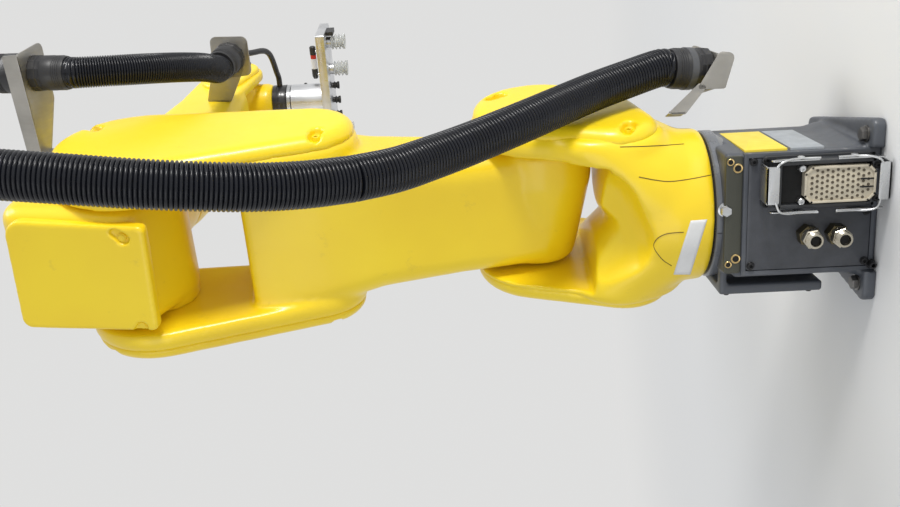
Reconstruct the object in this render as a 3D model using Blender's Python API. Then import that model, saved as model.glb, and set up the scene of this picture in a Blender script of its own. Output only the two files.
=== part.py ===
"""Six-axis industrial robot arm with hose dress pack and vacuum gripper.

Upright on its base flange: origin at the centre of the flange underside, +Z up the
first axis, -X toward the connector panel at the rear of the base.
"""
import math

import bmesh
import bpy
from mathutils import Matrix, Vector

# Driving dimensions, metres
SEAT = 0.0003                    # gap between faces that touch
RUNNING_GAP = 0.0055             # clearance beside a moving piece

# Joint places, and the angles of the pose shown, degrees
SHOULDER_FORWARD = 0.050
SHOULDER_HEIGHT = 0.330
UPPER_ARM_LENGTH = 0.440
ELBOW_OFFSET = 0.035
FOREARM_LENGTH = 0.420
FLANGE_REACH = 0.080
TURRET_TURN = -11.0
UPPER_ARM_LEAN = -8.0
FOREARM_DIP = 7.5
TOOL_PITCH = 90.0

# Base
FLANGE_HALF = 0.095
FLANGE_FRONT_HALF = 0.070
FLANGE_CORNER = 0.020
FLANGE_THICK = 0.013
MOUNT_HOLE_AT = 0.078
FRONT_HOLE_AT = 0.050
MOUNT_HOLE_RADIUS = 0.0055
BOX_REAR = 0.085
BOX_HALF_WIDTH = 0.061
BOX_TOP = 0.137
BOX_FLARE = 0.010
BOX_CORNER = 0.010
RIB_BACK = 0.064
RIB_HALF_WIDTH = 0.084
RIB_ROUND = 0.005
COLUMN_RADIUS = 0.078
RING_RADIUS = 0.091
RING_TOP = 0.171
PAD_REAR = 0.089
PAD_FRONT = 0.040
PAD_HALF_WIDTH = 0.048
PAD_CORNER = 0.008
PAD_LOW = 0.1325
PAD_HIGH = 0.152
PANEL_THICK = 0.003
PANEL_HALF_WIDTH = 0.057
PANEL_LOW = 0.0145
PANEL_HIGH = 0.131

# Connector and air fittings on the panel
CONNECTOR_Y = -0.033
CONNECTOR_Z = 0.064
CONNECTOR_HALF_LENGTH = 0.047
CONNECTOR_HALF_WIDTH = 0.0215
CONNECTOR_DEPTH = 0.022
CONNECTOR_WALL = 0.004
INSERT_STANDS = 0.006
LEVER_WIDTH = 0.040
LEVER_THICK = 0.010
LEVER_DEPTH = 0.034
LEVER_STANDS = 0.008
FITTING_Y = 0.021
FITTING_HEIGHTS = (0.067, 0.038)
FITTING_HEX_RADIUS = 0.0095
FITTING_HEX_LENGTH = 0.010
FITTING_SPIGOT_RADIUS = 0.0072
FITTING_LENGTH = 0.026
FITTING_BORE = 0.0042

# Turret
TURRET_RADIUS = 0.096
TURRET_SEAT_RADIUS = 0.070
BELL_CLEARANCE = 0.0257            # from the top of the turret's bell up to the arm's hub
BELL_SHARES = (0.125, 0.25, 0.625, 0.85, 1.0)      # heights of the bell's sections
BELL_TOPS = ((0.004, 0.008, 0.083), (0.008, 0.016, 0.070), (0.012, 0.020, 0.050))
CHEEK_FEET = ((-0.004, 0.061, 0.056), (0.048, 0.057, 0.050))    # x, height above the ring, radius
COVER_FEET = ((-0.002, 0.073, 0.044), (0.050, 0.071, 0.042))
SHOULDER_GAP_HALF = 0.067
SHOULDER_HALF_WIDTH = 0.092
SHOULDER_BOSS_RADIUS = 0.078
COVER_THICK = 0.011
RIGHT_COVER_THICK = 0.016
CHEEK_ROUND = 0.008
COVER_ROUND = 0.010

# Upper arm
HUB_RADIUS = 0.052
HUB_HALF_WIDTH = SHOULDER_GAP_HALF - RUNNING_GAP
PIN_RADIUS = 0.034
ELBOW_GAP_HALF = 0.0695
FORK_HALF_WIDTH = 0.097
FORK_RIGHT_EXTRA = 0.010           # the right side of the fork is this much wider
FORK_RADIUS = 0.088
FORK_TAIL_RADIUS = 0.058
FORK_TAIL_BELOW = 0.178            # below the elbow axis
FORK_ROOT_BELOW = 0.105
FORK_TAIL_AT = UPPER_ARM_LENGTH - FORK_TAIL_BELOW
FORK_ROOT_AT = UPPER_ARM_LENGTH - FORK_ROOT_BELOW
WEB_SHARES = (0.0, 0.299, 0.567, 0.761, 0.925, 1.0)      # of the way up to the fork's root
WEB_HALF_DEPTHS = (0.048, 0.050, 0.054, 0.056, 0.055, 0.050)
WEB_HALF_WIDTHS = (HUB_HALF_WIDTH - 0.004, HUB_HALF_WIDTH, 0.074, 0.090, 0.094, 0.092)
WEB_CORNERS = (0.022, 0.024, 0.028, 0.030, 0.030, 0.026)

# Elbow housing
ELBOW_HALF_WIDTH = ELBOW_GAP_HALF - RUNNING_GAP
ELBOW_PIN_RADIUS = 0.040
ELBOW_ROUND = 0.014
ELBOW_PROFILE = ((0.0, 0.0, 0.042), (-0.058, 0.090, 0.026), (0.044, 0.078, 0.042),
                 (-0.056, 0.010, 0.028), (0.058, 0.014, 0.028))
ELBOW_REAR = 0.084
ELBOW_COVER = ((-0.040, -0.006, 0.006), (0.046, 0.000, 0.006), (-0.044, 0.090, 0.010), (0.044, 0.090, 0.010))
NECK_ROOT = 0.030
NECK_RADIUS = 0.058
NECK_FRONT = 0.098
REAR_COVER_THICK = 0.008

# Forearm and wrist
FOREARM_HALF = 0.048
FOREARM_END_BACK = 0.075
FOREARM_END = FOREARM_LENGTH - FOREARM_END_BACK
FOREARM_SHARES = (0.0, 0.088, 0.372, 0.574, 1.0)         # of the way from the neck to the forearm's end
FOREARM_HALF_WIDTHS = (0.058, 0.058, 0.052, FOREARM_HALF, FOREARM_HALF)
FOREARM_HALF_HEIGHTS = (0.058, 0.058, 0.056, 0.052, 0.040)
FOREARM_CORNERS = (0.056, 0.050, 0.030, 0.022, 0.016)
WRIST_GAP_HALF = 0.0345
WRIST_CHEEK_RADIUS = 0.040
WRIST_CHEEK_ROOT_RADIUS = 0.036
WRIST_COVER_BACK = 0.045
WRIST_COVER_BACK_RADIUS = 0.028
WRIST_COVER_THICK = 0.006
WRIST_HUB_RADIUS = 0.034
WRIST_HUB_HALF = WRIST_GAP_HALF - RUNNING_GAP
WRIST_PIN_RADIUS = 0.022
WRIST_NECK_RADIUS = 0.028
WRIST_NECK_END = 0.0535
WRIST_RING_END = 0.074
FLANGE_RADIUS = 0.025

# Gripper
ADAPTER_END = 0.128
PLATE_THICK = 0.012
PLATE_HALF_LENGTH = 0.105
PLATE_HALF_WIDTH = 0.035
CUP_FROM_END = 0.019
CUP_OUTER = PLATE_HALF_LENGTH - CUP_FROM_END
CUP_INNER = 0.4476 * PLATE_HALF_LENGTH
CUP_PLACES = (-CUP_OUTER, -CUP_INNER, CUP_INNER, CUP_OUTER)
CUP_RADIUS = 0.011
CUP_LENGTH = 0.025
SMALL_CUP_PLACES = (-0.2095 * PLATE_HALF_LENGTH, 0.0, 0.2095 * PLATE_HALF_LENGTH)
SMALL_CUP_RADIUS = 0.0055
SMALL_CUP_LENGTH = 0.010
CUP_WAIST = 0.72
END_BLOCK = (0.006, 0.012, 0.010)      # thickness, half width, height
FILTER_FROM_END = 0.027
FILTER_CLEARANCE = 0.005           # from the filter's end to the tool adapter
FILTER_RADIUS = 0.0045
FILTER_STANDS = 0.012
FILTER_PORTS_IN = (0.008, 0.006)
FILTER_PORT_RADIUS = 0.0028

# Hoses, brackets and couplings
SHEET = 0.0025
HOSE_RADIUS = 0.0205
COUPLING_RADIUS = 0.0235
COUPLING_LENGTH = 0.044
REAR_HOSE_RADIUS = 0.0175
REAR_COUPLING_RADIUS = 0.0205
REAR_COUPLING_LENGTH = 0.040
CABLE_RADIUS = 0.004
TURRET_BRACKET_TURN = -62.0
COUPLING_OUT = 0.143
COUPLING_HEIGHT = 0.148
COUPLING_TILT = 18.0
BRACKET_HOLE_RADIUS = 0.012
BRACKET_MARGIN = 0.029             # sheet beside a coupling's middle
BRACKET_FRONT = 0.026
TURRET_BRACKET_SIDE = -0.031
TURRET_BRACKET_EDGE = 0.111
TURRET_BRACKET_TOP = 0.200
ELBOW_SHELF = 0.140
ELBOW_STRIP = 0.018
ELBOW_TAB_LOW = 0.082
ELBOW_TAB = (0.062, 0.080)
ELBOW_COUPLING = (0.084, -0.155)
FOREARM_BRACKET_OUT = ((-0.136, -0.072), (-0.084, -0.072))      # corners away from the forearm
FOREARM_BRACKET_LOW = ((-0.120, -0.018), (-0.136, -0.030))
FOREARM_BRACKET_ROOT = (-0.040, -0.004)
FOREARM_TAB = 0.030
FOREARM_TAB_CLEARANCE = 0.025
FOREARM_SHELF = (FOREARM_LENGTH - WRIST_COVER_BACK - WRIST_COVER_BACK_RADIUS - FOREARM_TAB
                 - FOREARM_TAB_CLEARANCE)
FOREARM_COUPLING = (-0.109, -0.046)
HOSE_SPACING = 0.045
CABLE_SPACING = 0.014
SPLIT_STRAIGHT = 0.006
DRESS_HOSE_SPLIT = 10            # point of the hose where its two lengths meet
DRESS_HOSE_ROUTE = [
    (-0.018, -0.127, 0.275),
    (-0.098, -0.110, 0.360),
    (-0.158, -0.096, 0.432),
    (-0.215, -0.090, 0.495),
    (-0.262, -0.094, 0.570),
    (-0.292, -0.106, 0.655),
    (-0.304, -0.120, 0.750),
    (-0.304, -0.132, 0.850),
    (-0.296, -0.141, 0.945),
    (-0.268, -0.148, 1.030),
    (-0.206, -0.155, 1.095),
    (-0.118, -0.161, 1.120),
    (-0.030, -0.166, 1.096),
    (0.034, -0.170, 1.035),
]
FOREARM_HOSE_ROUTE = [
    (0.066, -0.167, 0.803),
    (0.100, -0.164, 0.760),
    (0.151, -0.158, 0.732),
]
TOOL_CABLE_ROUTE = [
    (0.300, -0.160, 0.700),
    (0.350, -0.155, 0.685),
]

SIDES = 32
ROUND_STEPS = 2


def clear_scene():
    for obj in list(bpy.data.objects):
        bpy.data.objects.remove(obj, do_unlink=True)


def material(name, colour, roughness, metallic=0.0):
    made = bpy.data.materials.new(name)
    made.use_nodes = True
    shader = made.node_tree.nodes["Principled BSDF"]
    shader.inputs["Base Color"].default_value = (*colour, 1.0)
    shader.inputs["Roughness"].default_value = roughness
    shader.inputs["Metallic"].default_value = metallic
    made.diffuse_color = (*colour, 1.0)
    return made


def frame(name, parent, place, turn_x=0.0, turn_y=0.0, turn_z=0.0):
    """An empty on a joint, turned to the pose shown."""
    empty = bpy.data.objects.new(name, None)
    empty.empty_display_size = 0.05
    empty.location = place
    empty.rotation_euler = (math.radians(turn_x), math.radians(turn_y), math.radians(turn_z))
    empty.parent = parent
    bpy.context.collection.objects.link(empty)
    return empty


def along_x(u, v, w):
    return Vector((w, u, v))


def along_y(u, v, w):
    return Vector((u, w, v))


def along_z(u, v, w):
    return Vector((u, v, w))


def hull_ring(circles, inset=0.0, sides=SIDES):
    """Outline round circles (u, v, radius), drawn in by inset."""
    ring = []
    for index in range(sides):
        angle = 2.0 * math.pi * (index + 0.5) / sides
        du, dv = math.cos(angle), math.sin(angle)
        u, v, radius = max(circles, key=lambda c: c[0] * du + c[1] * dv + c[2])
        ring.append((u + (radius - inset) * du, v + (radius - inset) * dv))
    return ring


def box_circles(u_low, u_high, v_low, v_high, corner):
    """Four corner circles of a rounded rectangle."""
    return [(u, v, corner)
            for u in (u_low + corner, u_high - corner)
            for v in (v_low + corner, v_high - corner)]


def rounded_levels(low, high, low_round=0.0, high_round=0.0, steps=ROUND_STEPS):
    """Heights and insets of a solid whose two ends are rounded over."""
    levels = []
    count = steps if low_round > 0.0 else 0
    for index in range(count + 1):
        angle = 0.5 * math.pi * index / max(count, 1) if count else 0.5 * math.pi
        levels.append((low + low_round * (1.0 - math.cos(angle)), low_round * (1.0 - math.sin(angle))))
    count = steps if high_round > 0.0 else 0
    for index in range(count, -1, -1):
        angle = 0.5 * math.pi * index / max(count, 1) if count else 0.5 * math.pi
        levels.append((high - high_round * (1.0 - math.cos(angle)), high_round * (1.0 - math.sin(angle))))
    if not low_round:
        levels[0] = (low, 0.0)
    if not high_round:
        levels[-1] = (high, 0.0)
    return levels


def finish_mesh(name, mesh_builder, parent, finish):
    mesh = bpy.data.meshes.new(name)
    bmesh.ops.recalc_face_normals(mesh_builder, faces=mesh_builder.faces)
    mesh_builder.to_mesh(mesh)
    mesh_builder.free()
    mesh.shade_smooth()
    mesh.set_sharp_from_angle(angle=math.radians(32.0))
    obj = bpy.data.objects.new(name, mesh)
    if finish:
        mesh.materials.append(finish)
    obj.parent = parent
    bpy.context.collection.objects.link(obj)
    return obj


def loft(name, rings, place, parent, finish):
    """A closed solid through rings [(w, [(u, v), ...]), ...]."""
    builder = bmesh.new()
    loops = [[builder.verts.new(place(u, v, w)) for u, v in ring] for w, ring in rings]
    for lower, upper in zip(loops, loops[1:]):
        for index in range(len(lower)):
            following = (index + 1) % len(lower)
            builder.faces.new((lower[index], lower[following], upper[following], upper[index]))
    builder.faces.new(loops[0][::-1])
    builder.faces.new(loops[-1])
    return finish_mesh(name, builder, parent, finish)


def prism(name, circles, low, high, place, parent, finish, low_round=0.0, high_round=0.0, sides=SIDES):
    """The hull of some circles, extruded, with its ends rounded over."""
    levels = rounded_levels(low, high, low_round, high_round)
    rings = [(w, hull_ring(circles, inset, sides)) for w, inset in levels]
    return loft(name, rings, place, parent, finish)


def revolve(name, profile, place, centre, parent, finish, sides=24):
    """Turn a profile [(w, radius), ...] round the w axis through centre (u, v)."""
    rings = [(w, hull_ring([(centre[0], centre[1], radius)], 0.0, sides)) for w, radius in profile]
    return loft(name, rings, place, parent, finish)


def plate(name, outline, low, high, place, parent, finish):
    """A flat sheet cut to an outline of (u, v) points."""
    return loft(name, [(low, outline), (high, outline)], place, parent, finish)


def boolean(target, tool, operation):
    modifier = target.modifiers.new(tool.name, 'BOOLEAN')
    modifier.operation = operation
    modifier.object = tool
    tool.hide_render = True
    tool.display_type = 'WIRE'
    tool.hide_set(True)


def fuse(target, *tools):
    for tool in tools:
        boolean(target, tool, 'UNION')
    return target


def cut(target, *tools):
    for tool in tools:
        boolean(target, tool, 'DIFFERENCE')
    return target


def smooth_path(points, spacing):
    """Points a fixed spacing apart on a Catmull-Rom curve through the route."""
    ends = [points[0] * 2.0 - points[1]] + points + [points[-1] * 2.0 - points[-2]]
    fine = []
    for index in range(1, len(ends) - 2):
        p0, p1, p2, p3 = ends[index - 1:index + 3]
        for step in range(24):
            t = step / 24.0
            fine.append(0.5 * ((2.0 * p1) + (p2 - p0) * t + (2.0 * p0 - 5.0 * p1 + 4.0 * p2 - p3) * t * t
                               + (3.0 * p1 - p0 - 3.0 * p2 + p3) * t ** 3))
    fine.append(points[-1].copy())
    length = sum((b - a).length for a, b in zip(fine, fine[1:]))
    count = max(2, round(length / spacing))
    path = [fine[0].copy()]
    travelled = 0.0
    wanted = length / count
    for a, b in zip(fine, fine[1:]):
        step = (b - a).length
        while len(path) < count and travelled + step >= wanted * len(path):
            path.append(a.lerp(b, (wanted * len(path) - travelled) / step))
        travelled += step
    path.append(fine[-1].copy())
    return path


def tube(name, path, radius, finish, resolution=2):
    """A hose or cable as a bevelled curve with filled caps, in world coordinates."""
    curve = bpy.data.curves.new(name, 'CURVE')
    curve.dimensions = '3D'
    curve.bevel_depth = radius
    curve.bevel_resolution = resolution
    curve.use_fill_caps = True
    spline = curve.splines.new('POLY')
    spline.points.add(len(path) - 1)
    for point, place in zip(spline.points, path):
        point.co = (*place, 1.0)
    curve.materials.append(finish)
    obj = bpy.data.objects.new(name, curve)
    bpy.context.collection.objects.link(obj)
    return obj


def hose_path(route, spacing, out_of_start, out_of_end):
    """A smooth path whose two ends run straight out of what they are seated on."""
    start, end = route[0], route[-1]
    lead = 2.0 * SPLIT_STRAIGHT
    inner = [start + out_of_start * lead] + route[1:-1] + [end + out_of_end * lead]
    return [start] + smooth_path(inner, spacing) + [end]


def split_path(path, index):
    """Cut a path in two whose ends face each other squarely across the seat."""
    along = (path[index + 1] - path[index]).normalized()
    first = path[:index] + [path[index] - along * SPLIT_STRAIGHT, path[index]]
    second = [path[index] + along * SEAT] + path[index + 1:]
    return first, second


def build_base(finishes):
    grey = finishes["grey"]
    flange_circles = []
    for x, half_width in ((-1.0, FLANGE_HALF), (1.0, FLANGE_FRONT_HALF)):
        for side in (-1.0, 1.0):
            flange_circles.append((x * (FLANGE_HALF - FLANGE_CORNER), side * (half_width - FLANGE_CORNER),
                                   FLANGE_CORNER))
    casting = prism("base_casting", flange_circles, 0.0, FLANGE_THICK, along_z, None, grey,
                    high_round=0.002)
    rear = [(-BOX_REAR + BOX_CORNER, side * (BOX_HALF_WIDTH - BOX_CORNER), BOX_CORNER) for side in (-1.0, 1.0)]
    ribs = [(-RIB_BACK, side * (RIB_HALF_WIDTH - RIB_ROUND), RIB_ROUND) for side in (-1.0, 1.0)]
    foot = rear + ribs + [(0.0, 0.0, COLUMN_RADIUS + 0.5 * BOX_FLARE)]
    head = rear + ribs + [(0.0, 0.0, COLUMN_RADIUS)]
    body = loft("base_body_tool", [(0.5 * FLANGE_THICK, hull_ring(foot)), (BOX_TOP, hull_ring(head))],
                along_z, None, grey)
    ring = prism("base_ring_tool", [(0.0, 0.0, RING_RADIUS)], BOX_TOP - 0.002, RING_TOP, along_z, None, grey,
                 low_round=0.006, high_round=0.003)
    pad_circles = box_circles(-PAD_REAR, -PAD_FRONT, -PAD_HALF_WIDTH, PAD_HALF_WIDTH, PAD_CORNER)
    pad = prism("base_pad_tool", pad_circles, PAD_LOW, PAD_HIGH, along_z, None, grey, high_round=0.003)
    fuse(casting, body, ring, pad)
    for x, half_spread in ((-MOUNT_HOLE_AT, MOUNT_HOLE_AT), (MOUNT_HOLE_AT, FRONT_HOLE_AT)):
        for y in (-half_spread, half_spread):
            hole = prism("mount_hole_tool", [(x, y, MOUNT_HOLE_RADIUS)], -0.005, FLANGE_THICK + 0.005,
                         along_z, None, None, sides=16)
            cut(casting, hole)
    panel_front = -BOX_REAR - SEAT
    panel_back = panel_front - PANEL_THICK
    panel_circles = box_circles(-PANEL_HALF_WIDTH, PANEL_HALF_WIDTH, PANEL_LOW, PANEL_HIGH, 0.004)
    prism("connector_panel", panel_circles, panel_back, panel_front, along_x, None, grey, sides=24)
    build_connector(panel_back - SEAT, finishes)
    for index, height in enumerate(FITTING_HEIGHTS, start=1):
        build_air_fitting("air_fitting_%d" % index, panel_back - SEAT, height, finishes)


def build_connector(seat_x, finishes):
    """Heavy-duty rectangular connector, long side up the panel."""
    rear = seat_x - CONNECTOR_DEPTH
    outer = box_circles(CONNECTOR_Y - CONNECTOR_HALF_WIDTH, CONNECTOR_Y + CONNECTOR_HALF_WIDTH,
                        CONNECTOR_Z - CONNECTOR_HALF_LENGTH, CONNECTOR_Z + CONNECTOR_HALF_LENGTH, 0.005)
    housing = prism("connector_housing", outer, rear, seat_x, along_x, None, finishes["black"], sides=24)
    well = prism("connector_well_tool",
                 [(u, v, radius - CONNECTOR_WALL * 0.5) for u, v, radius in outer],
                 rear - 0.005, seat_x - 0.006, along_x, None, None, sides=24)
    cut(housing, well)
    gap = 0.0006
    inner = [(u, v, radius - CONNECTOR_WALL * 0.5 - gap) for u, v, radius in outer]
    prism("connector_insert", inner, rear - INSERT_STANDS + 0.004, seat_x - 0.006 - SEAT, along_x, None,
          finishes["beige"], low_round=0.0015, sides=24)
    for side, name in ((-1.0, "connector_lever_lower"), (1.0, "connector_lever_upper")):
        edge = CONNECTOR_Z + side * (CONNECTOR_HALF_LENGTH + SEAT)
        far = edge + side * LEVER_THICK
        circles = box_circles(CONNECTOR_Y - 0.5 * LEVER_WIDTH, CONNECTOR_Y + 0.5 * LEVER_WIDTH,
                              min(edge, far), max(edge, far), 0.003)
        prism(name, circles, seat_x - LEVER_DEPTH, seat_x - LEVER_STANDS, along_x, None, finishes["steel"],
              low_round=0.003, sides=24)


def build_air_fitting(name, seat_x, height, finishes):
    hexagon = [(seat_x - FITTING_HEX_LENGTH, FITTING_HEX_RADIUS), (seat_x, FITTING_HEX_RADIUS)]
    fitting = revolve(name, hexagon, along_x, (FITTING_Y, height), None, finishes["brass"], sides=6)
    end = seat_x - FITTING_LENGTH
    spigot = revolve(name + "_spigot_tool",
                     [(end, FITTING_SPIGOT_RADIUS - 0.001), (end + 0.001, FITTING_SPIGOT_RADIUS),
                      (seat_x - 0.5 * FITTING_HEX_LENGTH, FITTING_SPIGOT_RADIUS)],
                     along_x, (FITTING_Y, height), None, None, sides=20)
    bore = revolve(name + "_bore_tool", [(end - 0.002, FITTING_BORE), (end + 0.014, FITTING_BORE)],
                   along_x, (FITTING_Y, height), None, None, sides=16)
    fuse(fitting, spigot)
    cut(fitting, bore)


def above_ring(feet):
    """Circles given by their height above the base ring."""
    return [(u, RING_TOP + height, radius) for u, height, radius in feet]


def turret_bell(start):
    """Sections of the turret's body, as high as the arm's hub leaves room for."""
    height = SHOULDER_HEIGHT - HUB_RADIUS - BELL_CLEARANCE - start
    sections = [[(0.0, 0.0, TURRET_RADIUS + SEAT)], [(0.0, 0.0, SHOULDER_HALF_WIDTH - SEAT)]]
    for x, half_spread, radius in BELL_TOPS:
        sections.append([(x, side * half_spread, radius) for side in (-1.0, 1.0)])
    bell = [(start, hull_ring([(0.0, 0.0, TURRET_RADIUS)]))]
    for share, circles in zip(BELL_SHARES, sections):
        bell.append((start + share * height, hull_ring(circles)))
    return bell


def build_turret(axis, finishes):
    yellow = finishes["yellow"]
    start = RING_TOP + SEAT + 0.001
    casting = loft("turret_casting", turret_bell(start), along_z, axis, yellow)
    seat_disc = prism("turret_seat_tool", [(0.0, 0.0, TURRET_SEAT_RADIUS)], RING_TOP + SEAT, start + 0.010,
                      along_z, axis, yellow)
    fuse(casting, seat_disc)
    cheek_circles = [(SHOULDER_FORWARD, SHOULDER_HEIGHT, SHOULDER_BOSS_RADIUS)] + above_ring(CHEEK_FEET)
    cover_circles = [(SHOULDER_FORWARD, SHOULDER_HEIGHT, SHOULDER_BOSS_RADIUS - CHEEK_ROUND)]
    cover_circles += above_ring(COVER_FEET)
    for side, name in ((-1.0, "left"), (1.0, "right")):
        low, high = sorted((side * SHOULDER_GAP_HALF, side * SHOULDER_HALF_WIDTH))
        cheek = prism("turret_cheek_%s_tool" % name, cheek_circles, low, high, along_y, axis, yellow,
                      low_round=CHEEK_ROUND if side < 0 else 0.002,
                      high_round=CHEEK_ROUND if side > 0 else 0.002)
        fuse(casting, cheek)
        inner = side * (SHOULDER_HALF_WIDTH + SEAT)
        outer = side * (SHOULDER_HALF_WIDTH + (RIGHT_COVER_THICK if side > 0 else COVER_THICK))
        low, high = sorted((inner, outer))
        prism("turret_cover_" + name, cover_circles, low, high, along_y, axis, yellow,
              low_round=COVER_ROUND if side < 0 else 0.0, high_round=COVER_ROUND if side > 0 else 0.0)


def build_upper_arm(axis, finishes):
    yellow = finishes["yellow"]
    pin_half = SHOULDER_GAP_HALF - SEAT
    arm = prism("upper_arm_casting", [(0.0, 0.0, HUB_RADIUS)], -HUB_HALF_WIDTH, HUB_HALF_WIDTH, along_y, axis,
                yellow, low_round=0.006, high_round=0.006)
    pin = prism("shoulder_pin_tool", [(0.0, 0.0, PIN_RADIUS)], -pin_half, pin_half, along_y, axis, yellow)
    web = loft("upper_arm_web_tool",
               [(share * FORK_ROOT_AT, hull_ring(box_circles(-half_x, half_x, -half_y, half_y, corner)))
                for share, half_x, half_y, corner
                in zip(WEB_SHARES, WEB_HALF_DEPTHS, WEB_HALF_WIDTHS, WEB_CORNERS)], along_z, axis, yellow)
    fuse(arm, pin, web)
    fork_circles = [(0.0, UPPER_ARM_LENGTH, FORK_RADIUS), (0.0, FORK_TAIL_AT, FORK_TAIL_RADIUS)]
    for side, name in ((-1.0, "left"), (1.0, "right")):
        face = FORK_HALF_WIDTH + (FORK_RIGHT_EXTRA if side > 0 else 0.0)
        low, high = sorted((side * ELBOW_GAP_HALF, side * face))
        blade = prism("upper_arm_fork_%s_tool" % name, fork_circles, low, high, along_y, axis, yellow,
                      low_round=CHEEK_ROUND if side < 0 else 0.002,
                      high_round=CHEEK_ROUND if side > 0 else 0.002)
        fuse(arm, blade)
        inner = side * (face + SEAT)
        outer = side * (face + COVER_THICK)
        low, high = sorted((inner, outer))
        prism("upper_arm_cover_" + name, [(u, v, radius - CHEEK_ROUND) for u, v, radius in fork_circles],
              low, high, along_y, axis, yellow,
              low_round=COVER_ROUND if side < 0 else 0.0, high_round=COVER_ROUND if side > 0 else 0.0)


def build_elbow(axis, finishes):
    yellow = finishes["yellow"]
    pin_half = ELBOW_GAP_HALF - SEAT
    housing = prism("elbow_housing", ELBOW_PROFILE, -ELBOW_HALF_WIDTH, ELBOW_HALF_WIDTH, along_y, axis, yellow,
                    low_round=ELBOW_ROUND, high_round=ELBOW_ROUND)
    pin = prism("elbow_pin_tool", [(0.0, 0.0, ELBOW_PIN_RADIUS)], -pin_half, pin_half, along_y, axis, yellow)
    neck = revolve("elbow_neck_tool", [(NECK_ROOT, NECK_RADIUS), (NECK_FRONT, NECK_RADIUS)], along_x,
                   (0.0, ELBOW_OFFSET), axis, yellow, sides=SIDES)
    fuse(housing, pin, neck)
    rear = -ELBOW_REAR - SEAT
    prism("elbow_rear_cover", ELBOW_COVER, rear - REAR_COVER_THICK, rear, along_x, axis, yellow,
          low_round=0.5 * REAR_COVER_THICK)
    build_elbow_bracket(axis, finishes)


def build_elbow_bracket(axis, finishes):
    steel = finishes["steel"]
    low_z = ELBOW_SHELF
    x_low = ELBOW_COUPLING[0] - BRACKET_MARGIN
    x_high = ELBOW_COUPLING[0] + BRACKET_FRONT
    tab_low, tab_high = ELBOW_TAB
    y_out = ELBOW_COUPLING[1] - BRACKET_MARGIN
    y_in = -ELBOW_HALF_WIDTH - SEAT
    bracket = plate("elbow_bracket", [(x_low, y_out), (x_high, y_out), (x_high, y_in - 0.030), (tab_high, y_in),
                                      (x_low, y_in)], low_z, low_z + SHEET, along_z, axis, steel)
    tab = plate("elbow_bracket_tab_tool", [(tab_low, ELBOW_TAB_LOW), (tab_high, ELBOW_TAB_LOW),
                                           (tab_high, low_z + SHEET), (tab_low, low_z + SHEET)],
                y_in - SHEET, y_in, along_y, axis, steel)
    strip_outline = [(y_out, low_z), (y_in, low_z), (y_in, low_z + ELBOW_STRIP), (y_out, low_z + ELBOW_STRIP)]
    strip = plate("elbow_bracket_strip_tool", strip_outline, x_low, x_low + SHEET, along_x, axis, steel)
    fuse(bracket, tab, strip)
    centre = ELBOW_COUPLING
    hole = revolve("elbow_bracket_hole_tool", [(low_z - 0.005, BRACKET_HOLE_RADIUS),
                                                 (low_z + 0.008, BRACKET_HOLE_RADIUS)], along_z, centre,
                   axis, None, sides=20)
    cut(bracket, hole)
    top = low_z + SHEET + SEAT
    coupling("elbow_hose_coupling", along_z, centre, top, top + COUPLING_LENGTH, COUPLING_RADIUS, axis,
             finishes)
    bottom = low_z - SEAT
    coupling("elbow_rear_coupling", along_z, centre, bottom, bottom - REAR_COUPLING_LENGTH,
             REAR_COUPLING_RADIUS, axis, finishes)


def coupling(name, place, centre, seat, end, radius, axis, finishes):
    """A black screw coupling: hexagon-like nut, collar and lip toward the hose."""
    step = 1.0 if end > seat else -1.0
    length = abs(end - seat)
    profile = [(seat, radius), (seat + step * 0.35 * length, radius),
               (seat + step * 0.38 * length, radius - 0.0015), (seat + step * 0.92 * length, radius - 0.0015),
               (end, radius - 0.0025)]
    if step < 0:
        profile.reverse()
    return revolve(name, profile, place, centre, axis, finishes["black"], sides=24)


def build_forearm(axis, finishes):
    yellow = finishes["yellow"]
    start = NECK_FRONT + SEAT
    length = FOREARM_END - start
    arm = loft("forearm_casting",
               [(start + share * length, hull_ring(box_circles(-half_y, half_y, -half_z, half_z, corner)))
                for share, half_y, half_z, corner
                in zip(FOREARM_SHARES, FOREARM_HALF_WIDTHS, FOREARM_HALF_HEIGHTS, FOREARM_CORNERS)],
               along_x, axis, yellow)
    cheek_circles = [(FOREARM_LENGTH, 0.0, WRIST_CHEEK_RADIUS),
                     (FOREARM_END - 0.020, 0.0, WRIST_CHEEK_ROOT_RADIUS)]
    cover_circles = [(FOREARM_LENGTH, 0.0, WRIST_CHEEK_RADIUS - WRIST_COVER_THICK),
                     (FOREARM_LENGTH - WRIST_COVER_BACK, 0.0, WRIST_COVER_BACK_RADIUS)]
    for side, name in ((-1.0, "left"), (1.0, "right")):
        low, high = sorted((side * WRIST_GAP_HALF, side * (FOREARM_HALF - 0.0004)))
        cheek = prism("forearm_cheek_%s_tool" % name, cheek_circles, low, high, along_y, axis, yellow,
                      low_round=0.004 if side < 0 else 0.001, high_round=0.004 if side > 0 else 0.001)
        fuse(arm, cheek)
        inner = side * (FOREARM_HALF + SEAT)
        outer = side * (FOREARM_HALF + WRIST_COVER_THICK)
        low, high = sorted((inner, outer))
        prism("wrist_cover_" + name, cover_circles, low, high, along_y, axis, yellow,
              low_round=0.004 if side < 0 else 0.0, high_round=0.004 if side > 0 else 0.0)
    build_forearm_bracket(axis, finishes)


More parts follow.
